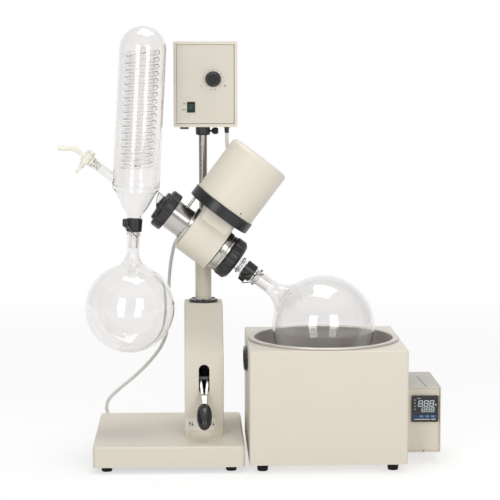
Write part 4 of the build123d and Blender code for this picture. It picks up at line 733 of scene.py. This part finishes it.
union_profile = rounded([
    (25.4, -74), (36, -74), (37.5, -76), (37.5, -91), (35, -94), (28.6, -94.2), (28.2, -98), (26.4, -100),
    (20.2, -100), (20, -98.5), (25.4, -90)], 0.9, 4)
union_nut = lathe("union_nut", union_profile, spindle, black_moulding, "head",
                  ["condenser_nut"], 192, scallops(8, 40.4, 5.2, -93.4, -74.6))
flask_nut_profile = rounded([
    (17.7, 50.6), (36.2, 50.6), (39, 54), (39, 69.5), (33.4, 75), (13.8, 75), (13.8, 70.3), (17.2, 70.3),
    (17.2, 66.2), (17.7, 66.2)], 0.9, 4)
grip_nut = lathe("grip_nut", flask_nut_profile, spindle, black_moulding, "spindle",
                 ["flask_nut"], 256, scallops(16, 40.3, 2.7, 52.5, 72))
print("nuts", len(union_nut.data.polygons), len(grip_nut.data.polygons))

# %% [markdown]
# The motor stands on a black moulded ring under a drawn steel can. Both are plain
# lathes. The can's rounded shoulder is a true arc, because the highlight along it is
# the first thing that the eye follows on the whole machine.

# %% The motor's can and ring
can_profile = np.vstack([
    [[57, 66.2], [59, 66.2], [59, 100], [59, 140]], arc((51, 172), 8, 0, math.pi / 2, 14),
    [[30, 180], [0.001, 180], [0.001, 178], [30, 178]], arc((51, 172), 6, math.pi / 2, 0, 10), [[57, 100]]])
motor_can = lathe("motor_can", can_profile, motor, beige, "head", ["motor_cover"], 160)
ring_low = 51.0
ring_profile = rounded([(8, ring_low), (60.5, ring_low), (62, 52.5), (62, 70.5), (60.8, 72), (59.2, 72),
                        (59.2, 66), (57, 66), (57, 56), (8, 56)], 0.8, 4)
motor_band = lathe("motor_band", ring_profile, motor, black_moulding, "head", ["motor_ring"],
                   160)
print("motor", len(motor_can.data.polygons), len(motor_band.data.polygons))

# %% [markdown]
# The bright parts of the head are turned steel: a flange and collar on the left, and a
# cap with a groove on the right. Between the cap and the painted block a thin black
# gasket shows. Turned steel keeps crisp edges, so its corners get only a small radius.

# %% Collar, cap and gasket
collar_profile = rounded([(20, -33), (38, -33), (38, -39.5), (28, -39.5), (28, -73.7), (25, -73.7), (25, -82),
                          (20, -82)], 0.5, 3)
bright_collar = lathe("bright_collar", collar_profile, spindle, turned_steel, "head",
                      ["condenser_collar"], 144)
pin_at = -56.0
pin_path = carried(np.array([[0, 26, pin_at], [0, 40, pin_at], [0, ring_low - 0.3, pin_at]]) * MM,
                   (spindle[0], np.array([spindle[1][0], motor[1][2], spindle[1][2]])))
stop_pin = tube("stop_pin", pin_path, 2.5 * MM, turned_steel, "head", around=24)
cap_profile = rounded([(17.8, 33.9), (38, 33.9), (38, 43.5), (36.2, 44), (36.2, 45.6), (37.2, 46), (37.2, 50),
                       (17.8, 50)], 0.4, 3)
lathe("bright_cap", cap_profile, spindle, turned_steel, "head", ["bearing_cap"], 144)
lathe("cap_gasket", rounded([(30, 33.0), (38.5, 33.0), (38.5, 35.2), (30, 35.2)], 0.2, 2), spindle,
      black_rubber, "head", (), 144)
print("collar", len(bright_collar.data.polygons), "pin", stop_pin.name)

# %% [markdown]
# Small fasteners repeat, so one function makes them all: a button head with a hexagon
# socket. The socket is the same lathe with its radius changed to a six-sided shape,
# r = h / cos(a folded into one sixth of a turn).

# %% Button head screws


def screw_head(name, place, outward, radius, body):
    """A button head screw with a hexagon socket, seated at place and looking outward."""
    beside = (0, 0, 1) if abs(outward[2]) < 0.9 else (1, 0, 0)
    axis = axes(place, outward, beside)
    socket_half = radius * 0.42

    def hexagon(angle, ring, height):
        folded = (angle + np.pi / 6) % (np.pi / 3) - np.pi / 6
        return np.where(ring < socket_half * 1.05, ring / np.cos(folded), ring)

    profile = [(0.001, -0.2), (radius, -0.2), (radius, radius * 0.25), (radius * 0.86, radius * 0.52),
               (radius * 0.6, radius * 0.62), (socket_half * 1.2, radius * 0.64), (socket_half, radius * 0.6),
               (socket_half, radius * 0.15), (0.001, radius * 0.1)]
    lathe(name, profile, axis, screw_black, body, (), 36, hexagon)


for number, angle in enumerate(np.radians([45, 135, 225, 315]), 1):
    screw_head(f"collar_screw_{number}", on_ring(spindle, 33.5, angle, -39.5), -spindle_way, 2.6, "head")
for number, angle in enumerate(np.radians([60, 180, 300]), 1):
    outward = carried(np.array([math.cos(angle), math.sin(angle), 0]), (np.zeros(3), motor[1]))
    screw_head(f"can_screw_{number}", on_ring(motor, 59.05, angle, 78), outward, 1.4, "head")
cap_spot = carried(np.array([-38.0, 0, 37.6]) * MM, spindle)
screw_head("cap_set_screw", cap_spot, -spindle[1][0], 1.3, "head")
print("screws placed")

# %% [markdown]
# The lever is a fork of flat bars. A bar has stations along the handle, each with a
# middle and a half width, and its section is the curve (a cos^n t, b sin^n t) with a
# small n, which is a rectangle with soft corners. The grip is an egg: the radius of an
# ellipse, made a little fuller on one side by a factor that falls from end to end.

# %% The lever's fork and grip
lever_axis_place = np.array(joints["lever_swing"]["pos_m"])
lever_droop = math.radians(87.54 / 2)
handle_way = np.array([0, -math.cos(lever_droop), -math.sin(lever_droop)])
lever = axes(lever_axis_place, handle_way, (1, 0, 0))
shaft_low, shaft_high = (np.array(corner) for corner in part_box("lift_lever"))
shaft_half = float(shaft_high[0] - shaft_low[0]) / 2 / MM


def soft_bar(name, stations, half_depth, stands_for=()):
    """A bar through stations (height, middle, half width), closed by a point at each end."""
    height, middle, half = np.array(stations, float).T
    shrink = np.ones(len(height) + 2)
    shrink[[0, -1]] = 0.001
    height, middle, half = (np.concatenate([v[:1], v, v[-1:]]) for v in (height, middle, half))
    sides, fullness = 28, 0.4
    turn = np.arange(sides) * 2 * np.pi / sides
    across = np.sign(np.cos(turn)) * np.abs(np.cos(turn)) ** fullness
    over = np.sign(np.sin(turn)) * np.abs(np.sin(turn)) ** fullness
    local = np.stack([middle[:, None] + (half * shrink)[:, None] * across,
                      (half_depth * shrink)[:, None] * over,
                      np.broadcast_to(height[:, None], (len(height), sides))], axis=-1)
    mesh_piece(name, carried(local.reshape(-1, 3) * MM, lever), grid_faces(len(height), sides), turned_steel,
               "lever", stands_for)


soft_bar("lever_bar", [(38, 0, 6.2), (44, 0, 6.6), (50, 0, 5.9), (58, 0, 5.2), (70, 0, 4.8)], 3.6,
         ["lift_lever"])
for number, side in enumerate((-1, 1), 1):
    soft_bar(f"lever_prong_{number}", [(-5, side * 6.3, 2.6), (-3, side * 6.3, 2.9), (14, side * 5.7, 2.9),
                                       (40, side * 3.4, 2.8), (46, side * 3.0, 2.6)], 3.4)
shaft_axis = axes(lever_axis_place, (1, 0, 0), (0, 0, 1))
lathe("lever_shaft", [(0.001, -shaft_half), (5, -shaft_half), (5, shaft_half), (0.001, shaft_half)],
      shaft_axis, dark_steel, "lever", (), 40)
grip_radius, grip_middle, grip_half = 13.8, 85.75, 26.25
along = np.linspace(-1, 1, 41)
egg = grip_radius * np.sqrt(np.maximum(1 - along ** 2, 0)) ** 0.72 * (1 - 0.05 * along)
egg_profile = np.stack([np.maximum(egg, 0.001), grip_middle + grip_half * along], -1)
hand_grip = mesh_piece("hand_grip", lathe_points(egg_profile, lever, 64), grid_faces(len(along), 64),
                       black_gloss, "lever", ["lever_grip"])
print("grip", len(hand_grip.data.polygons))

# %% The speed knob
knob_x, knob_z, panel_front = 18.8, 692.2, -21.5
knob_axis = axes(bench(knob_x, panel_front, knob_z), (0, -1, 0), (1, 0, 0))
knob_profile = rounded([(0.001, 0.5), (14.3, 0.5), (14.3, 2.6), (12.3, 3.6), (11.4, 14.2), (10.4, 15.5),
                        (0.001, 15.5)], 0.6, 3, closed=False)
knob = mesh_piece("dial_knob", lathe_points(knob_profile, knob_axis, 144, scallops(12, 13.2, 1.5, 4.2, 15.2)),
                  grid_faces(len(knob_profile), 144), black_moulding, "speed_dial",
                  ["speed_knob"])
print("knob", len(knob.data.polygons))

# %% [markdown]
# The bath's pan is pressed from thin stainless sheet, with a flat floor, a rounded
# corner and a rolled rim that lies on the case. It is a lathe too, and the steel's
# brushing runs round it because the grain is squeezed along the pan's height. The grips
# on the case's sides are dished ovals: a lathe carried by axes of which one is shorter.

# %% The bath's pan and the machine's round trims
bath_x, bath_y, case_left, case_right = 219.85, -68.35, 79.3, 360.4
bath_axis = axes(bench(bath_x, bath_y, 0), (0, 0, 1), (1, 0, 0))
pan_floor, case_top, bath_grip_z, bath_grip_height = 78.3, 218.3, 182.0, 22 / 45
pan_profile = np.vstack([
    [[0.001, pan_floor], [60, pan_floor], [115, pan_floor]],
    arc((115, pan_floor + 12), 12, -math.pi / 2, 0, 10),
    [[127, 150], [127, case_top + 1]], arc((129.2, case_top + 1.9), 2.2, math.pi, math.pi / 2, 6),
    [[136, case_top + 4.2]], arc((136.2, case_top + 2.1), 2.1, math.pi / 2, -math.pi / 2, 10),
    [[128.2, case_top], [128, 150]], arc((115, pan_floor + 12), 13, 0, -math.pi / 2, 10),
    [[60, pan_floor - 1], [0.001, pan_floor - 1]]])
water_pan = lathe("water_pan", pan_profile, bath_axis, bath_steel, "stand", ["bath_pan"], 160)
grip_profile = rounded([(0.001, 0.05), (45, 0.05), (45, 4.2), (42, 6.4), (36, 5.8), (33, 2.4), (0.001, 1.8)],
                       1.2, 4)
for number, (wall, outward) in enumerate(((case_left, -1), (case_right, 1)), 1):
    grip_axis = bench(wall, bath_y, bath_grip_z), np.array([[0, 1.0, 0], [0, 0, bath_grip_height],
                                                            [outward, 0, 0]])
    lathe(f"bath_grip_{number}", grip_profile, grip_axis, black_gloss, "stand",
          ["bath_handles"] if number == 1 else (), 96)
flange_profile = rounded([(15.3, 278.5), (27, 278.5), (27, 282), (25.4, 283.5), (15.3, 283.5)], 0.7, 3)
lathe("mast_trim", flange_profile, base, black_gloss, "stand", ["column_flange"], 96)
for number, angle in enumerate(np.radians([30, 150, 270]), 1):
    screw_head(f"trim_screw_{number}", on_ring(base, 21.2, angle, 283.5), (0, 0, 1), 2.4, "stand")
post_profile = [(0.001, 422.5), (7.5, 422.5), (7.5, 500), (7.5, 600), (7.5, 690), (0.001, 690)]
# The post wears the darkened steel, whose colour is a painted reflection.
lathe("bright_post", post_profile, base, post_steel_painted_dark, "mast", ["support_post"], 64)
print("pan", len(water_pan.data.polygons))

# %% [markdown]
# Flat and folded pieces keep their CAD shape. Three modifiers finish them: a weld joins
# the loose triangles, a narrow bevel catches light on the edges as real folded sheet
# does, and weighted normals keep the faces flat between the rounded edges.

# %% Soft edges and finishes on the CAD pieces


def dress(node, material, edge):
    """Gives a CAD node its material, and rounds its edges by edge millimetres."""
    piece = nodes[node]
    piece.data.materials.clear()
    piece.data.materials.append(material)
    piece.data.shade_smooth()
    weld = piece.modifiers.new("joined", "WELD")
    weld.merge_threshold = 0.00002
    if edge:
        bevel = piece.modifiers.new("soft edges", "BEVEL")
        bevel.width = edge * MM
        bevel.segments = 2
        bevel.limit_method = "ANGLE"
        bevel.angle_limit = math.radians(35)
        bevel.harden_normals = False
    piece.modifiers.new("flat faces", "WEIGHTED_NORMAL").weight = 100


for material, edge, dressed in (
        (beige, 0.7, "base_shell column_housing control_box_shell bath_case gearbox_housing lift_frame"),
        (beige, 0.5, "controller_case"), (panel_paint, 0.3, "control_front_panel"),
        (mast_paint, 0.5, "mast_tube"), (dark_steel, 0.4, "base_plate"),
        (dark_steel, 0, "lift_rack lever_sector lift_pinion crown_wheel motor_rotor motor_stator"),
        (bright_steel, 0.3, "spindle_shaft spindle_bearings"), (bright_steel, 0, "heater_and_probe"),
        (black_moulding, 0.5, "head_clamp post_collar collar_screw rocker_frame cord_gland tilt_knob "
                              "flask_clip receiving_clip"),
        (black_gloss, 0.3, "controller_display"), (green_rocker, 0.3, "power_rocker"),
        (panel_gap, 0.5, "fuse_holder"), (black_rubber, 0.5, "rubber_feet"),
        (cream_polymer, 0, "vapour_seal"), (cream_polymer, 0.4, "feed_valve"),
        (cream_polymer, 0.6, "stopcock_key"),
        (spring_wire, 0, "flask_bail receiving_bail"), (cord_sleeve, 0.6, "mains_plug"),
        (blue_key, 0.2, "display_key_1 display_key_2 display_key_3")):
    for node in dressed.split():
        dress(node, material, edge)
print("dressed", sum(1 for piece in nodes.values() if piece.modifiers))

# %% [markdown]
# Printed marks are thin plates, a tenth of a millimetre proud. Each starts as a flat
# four-sided outline on the front of the machine, and all outlines of one colour are
# raised together by one array operation. Ticks round the knob are the same outlines,
# turned: centre + r (cos a, sin a) + w (-sin a, cos a).

# %% Outlines and plates


def rectangles(boxes):
    """Corners of rectangles given as x0, z0, x1, z1."""
    x0, z0, x1, z1 = np.asarray(boxes, float).reshape(-1, 4).T
    return np.stack([np.stack(pair, -1) for pair in ((x0, z0), (x1, z0), (x1, z1), (x0, z1))], axis=1)


def ticks(centre, inner, outer, degrees, width):
    """Corners of radial ticks round a centre, at the given angles."""
    angle = np.radians(np.asarray(degrees, float))[:, None]
    radius = np.array([[inner, outer, outer, inner]])
    beside = np.array([[-1, -1, 1, 1]]) * width / 2
    return np.stack([centre[0] + radius * np.cos(angle) - beside * np.sin(angle),
                     centre[1] + radius * np.sin(angle) + beside * np.cos(angle)], axis=-1)


def digits(left, low, width, height, pitch, count, stroke, slant=0.1):
    """Seven bars for each digit, leaning by slant of their height: x = x + slant z."""
    middle = height / 2
    gap = stroke * 0.2
    bars = rectangles([
        (stroke, 0, width - stroke, stroke),
        (stroke, middle - stroke / 2, width - stroke, middle + stroke / 2),
        (stroke, height - stroke, width - stroke, height), (0, gap, stroke, middle - gap),
        (0, middle + gap, stroke, height - gap), (width - stroke, gap, width, middle - gap),
        (width - stroke, middle + gap, width, height - gap)])
    bars[..., 0] += slant * bars[..., 1]
    places = np.stack([left + pitch * np.arange(count), np.full(count, low)], axis=-1)
    return (places[:, None, None] + bars[None]).reshape(-1, 4, 2)


def plates(name, corners, face, raised, material, body):
    """Thin plates on a front at y = face: every outline becomes a box of eight points."""
    corners = np.asarray(corners, float)
    points = np.empty((len(corners), 2, 4, 3))
    points[..., 0] = corners[:, None, :, 0]
    points[..., 2] = corners[:, None, :, 1]
    points[:, 0, :, 1] = face + 0.2
    points[:, 1, :, 1] = face - raised
    box = np.array([[0, 1, 2, 3], [7, 6, 5, 4], [0, 4, 5, 1], [1, 5, 6, 2], [2, 6, 7, 3], [3, 7, 4, 0]])
    faces = (np.arange(len(corners))[:, None, None] * 8 + box).reshape(-1, 4)
    mesh_piece(name, carried(points.reshape(-1, 3) * MM, base), faces, material, body, smooth=False)


def slab(name, corners, low, high, material, body):
    """A thin lying plate over a four-sided outline given as x, y."""
    points = np.vstack([np.column_stack([corners, np.full(4, level)]) for level in (low, high)])
    faces = [[3, 2, 1, 0], [4, 5, 6, 7], *grid_faces(2, 4).tolist()]
    mesh_piece(name, carried(points * MM, base), faces, material, body, smooth=False)


print("outlines of three digits", digits(0, 0, 8, 12, 10, 3, 1.5).shape)

# %% The control box: shadow gap, dial ticks and two small signs
panel_left, panel_right, panel_low, panel_high = -48.3, 57.7, 610.2, 755.3
gap_wide = 0.9
gap_thin = gap_wide * 0.6
# The four strips round the control box panel are painted shade in the gap between the inset panel and the
# case.
plates("panel_gap", rectangles([
    (panel_left, panel_low, panel_right, panel_low + gap_wide),
    (panel_left, panel_high - gap_thin, panel_right, panel_high),
    (panel_left, panel_low, panel_left + gap_thin, panel_high),
    (panel_right - gap_wide, panel_low, panel_right, panel_high)]),
    panel_front, 0.06, panel_gap, "mast")
dial = ticks((knob_x, knob_z), 16.2, 18.6, np.linspace(-45, 225, 11), 0.55)
small_signs = rectangles([
    (14.6, 672.2, 16.4, 673.8), (21.0, 672.2, 22.8, 673.8), (knob_x - 22.5, 678.5, knob_x - 21.6, 681.5),
    (knob_x + 20.5, 678.5, knob_x + 21.4, 681.5), (knob_x + 22.2, 678.5, knob_x + 23.1, 681.5)])
plates("dial_marks", np.concatenate([dial, small_signs]), panel_front, 0.08, label_ink, "mast")

# %% The words beside the power switch, as strokes
two_posts = [(0, 0, 0.45, 2.6), (1.35, 0, 1.8, 2.6)]
letter_o = [*two_posts, (0, 0, 1.8, 0.45), (0, 2.15, 1.8, 2.6)]
letter_f = [(0, 0, 0.45, 2.6), (0, 2.15, 1.7, 2.6), (0, 1.15, 1.4, 1.55)]
slope = np.array([[(0.1, 2.6), (0.6, 2.6), (1.7, 0), (1.2, 0)]])
n_place = (-34.2, 646.2)
letters = [rectangles(boxes) + place for boxes, place in (
    (letter_o, (-36.6, 646.2)), (two_posts, n_place), (letter_o, (-37.4, 635.1)), (letter_f, (-35.0, 635.1)),
    (letter_f, (-32.6, 635.1)))]
plates("switch_words", np.concatenate([*letters, slope + n_place]), panel_front, 0.08, label_ink, "mast")

# %% The temperature controller's window
window = -141.0
plates("window_strip", rectangles([(377.4, 82.2, 420.6, 89.2)]), window, 0.06, strip_blue, "stand")
plates("window_digits", np.concatenate([digits(386.2, 103.8, 8.2, 11.6, 10.2, 3, 1.5),
                                        digits(392.4, 93.8, 6.6, 8.6, 8.3, 3, 1.2)]),
       window, 0.1, digit_glow, "stand")
lamps_left = np.array([(379.6, low, 382.0, low + 1.1) for low in (98.4, 104.2, 110.0, 115.6)])
signs = [(385.0, 118.6, 391, 119.4), (417.6, 106, 419.6, 108.6), (379.2, 79.9, 408.2, 81.1),
         (410.4, 79.9, 418.8, 81.1)]
plates("window_marks", rectangles(np.vstack([lamps_left, signs])), window, 0.08, label_white, "stand")
controller_front = -142.0
# Two dark marks on the controller's front are painted shade: a line where the inset front meets the right
# side wall, and a small notch at the bottom.
plates("controller_painted_shade_lines", rectangles([(425.9, 75.5, 427.3, 124.5), (395.8, 20.3, 398.4, 24.0)]),
       controller_front + 0.12, 0.1, panel_gap, "stand")

# %% The controller's lid in painted shade, and the painted shade line where its sheet meets
slab("controller_lid", [(360.6, -141.4), (427.4, -141.4), (427.4, 8.4), (360.6, 8.4)], 139.9, 140.25,
     lid_grey_painted_shade, "stand")
# The seam is a dark line in the ink colour: painted shade inside the narrow gap between the two sheets of the
# top.
slab("lid_seam_painted_shade", [(396.6, -31), (397.6, -31), (402.0, -141.5), (400.6, -141.5)], 140.1, 140.33, label_ink,
     "stand")

# %% The plate with arrows under the grip
plates("arrow_plate", rectangles([(-34.2, 57.6, 19.7, 79.5)]), -113.0, 0.12, label_white, "stand")
arrow_up = np.array([[(-0.5, 0), (0.5, 0), (0.5, 5), (-0.5, 5)], [(-1.9, 4.4), (1.9, 4.4), (0, 8), (0, 8)]])
arrow_down = arrow_up * [1, -1] + [0, 8]
arrows = np.concatenate([arrow + [x, 65.2] for x, arrow in (
    (12.2, arrow_up), (16.6, arrow_down), (-26, arrow_up), (-21.6, arrow_down))])
plates("arrow_signs", arrows, -113.12, 0.08, label_ink, "stand")
print("marks placed")
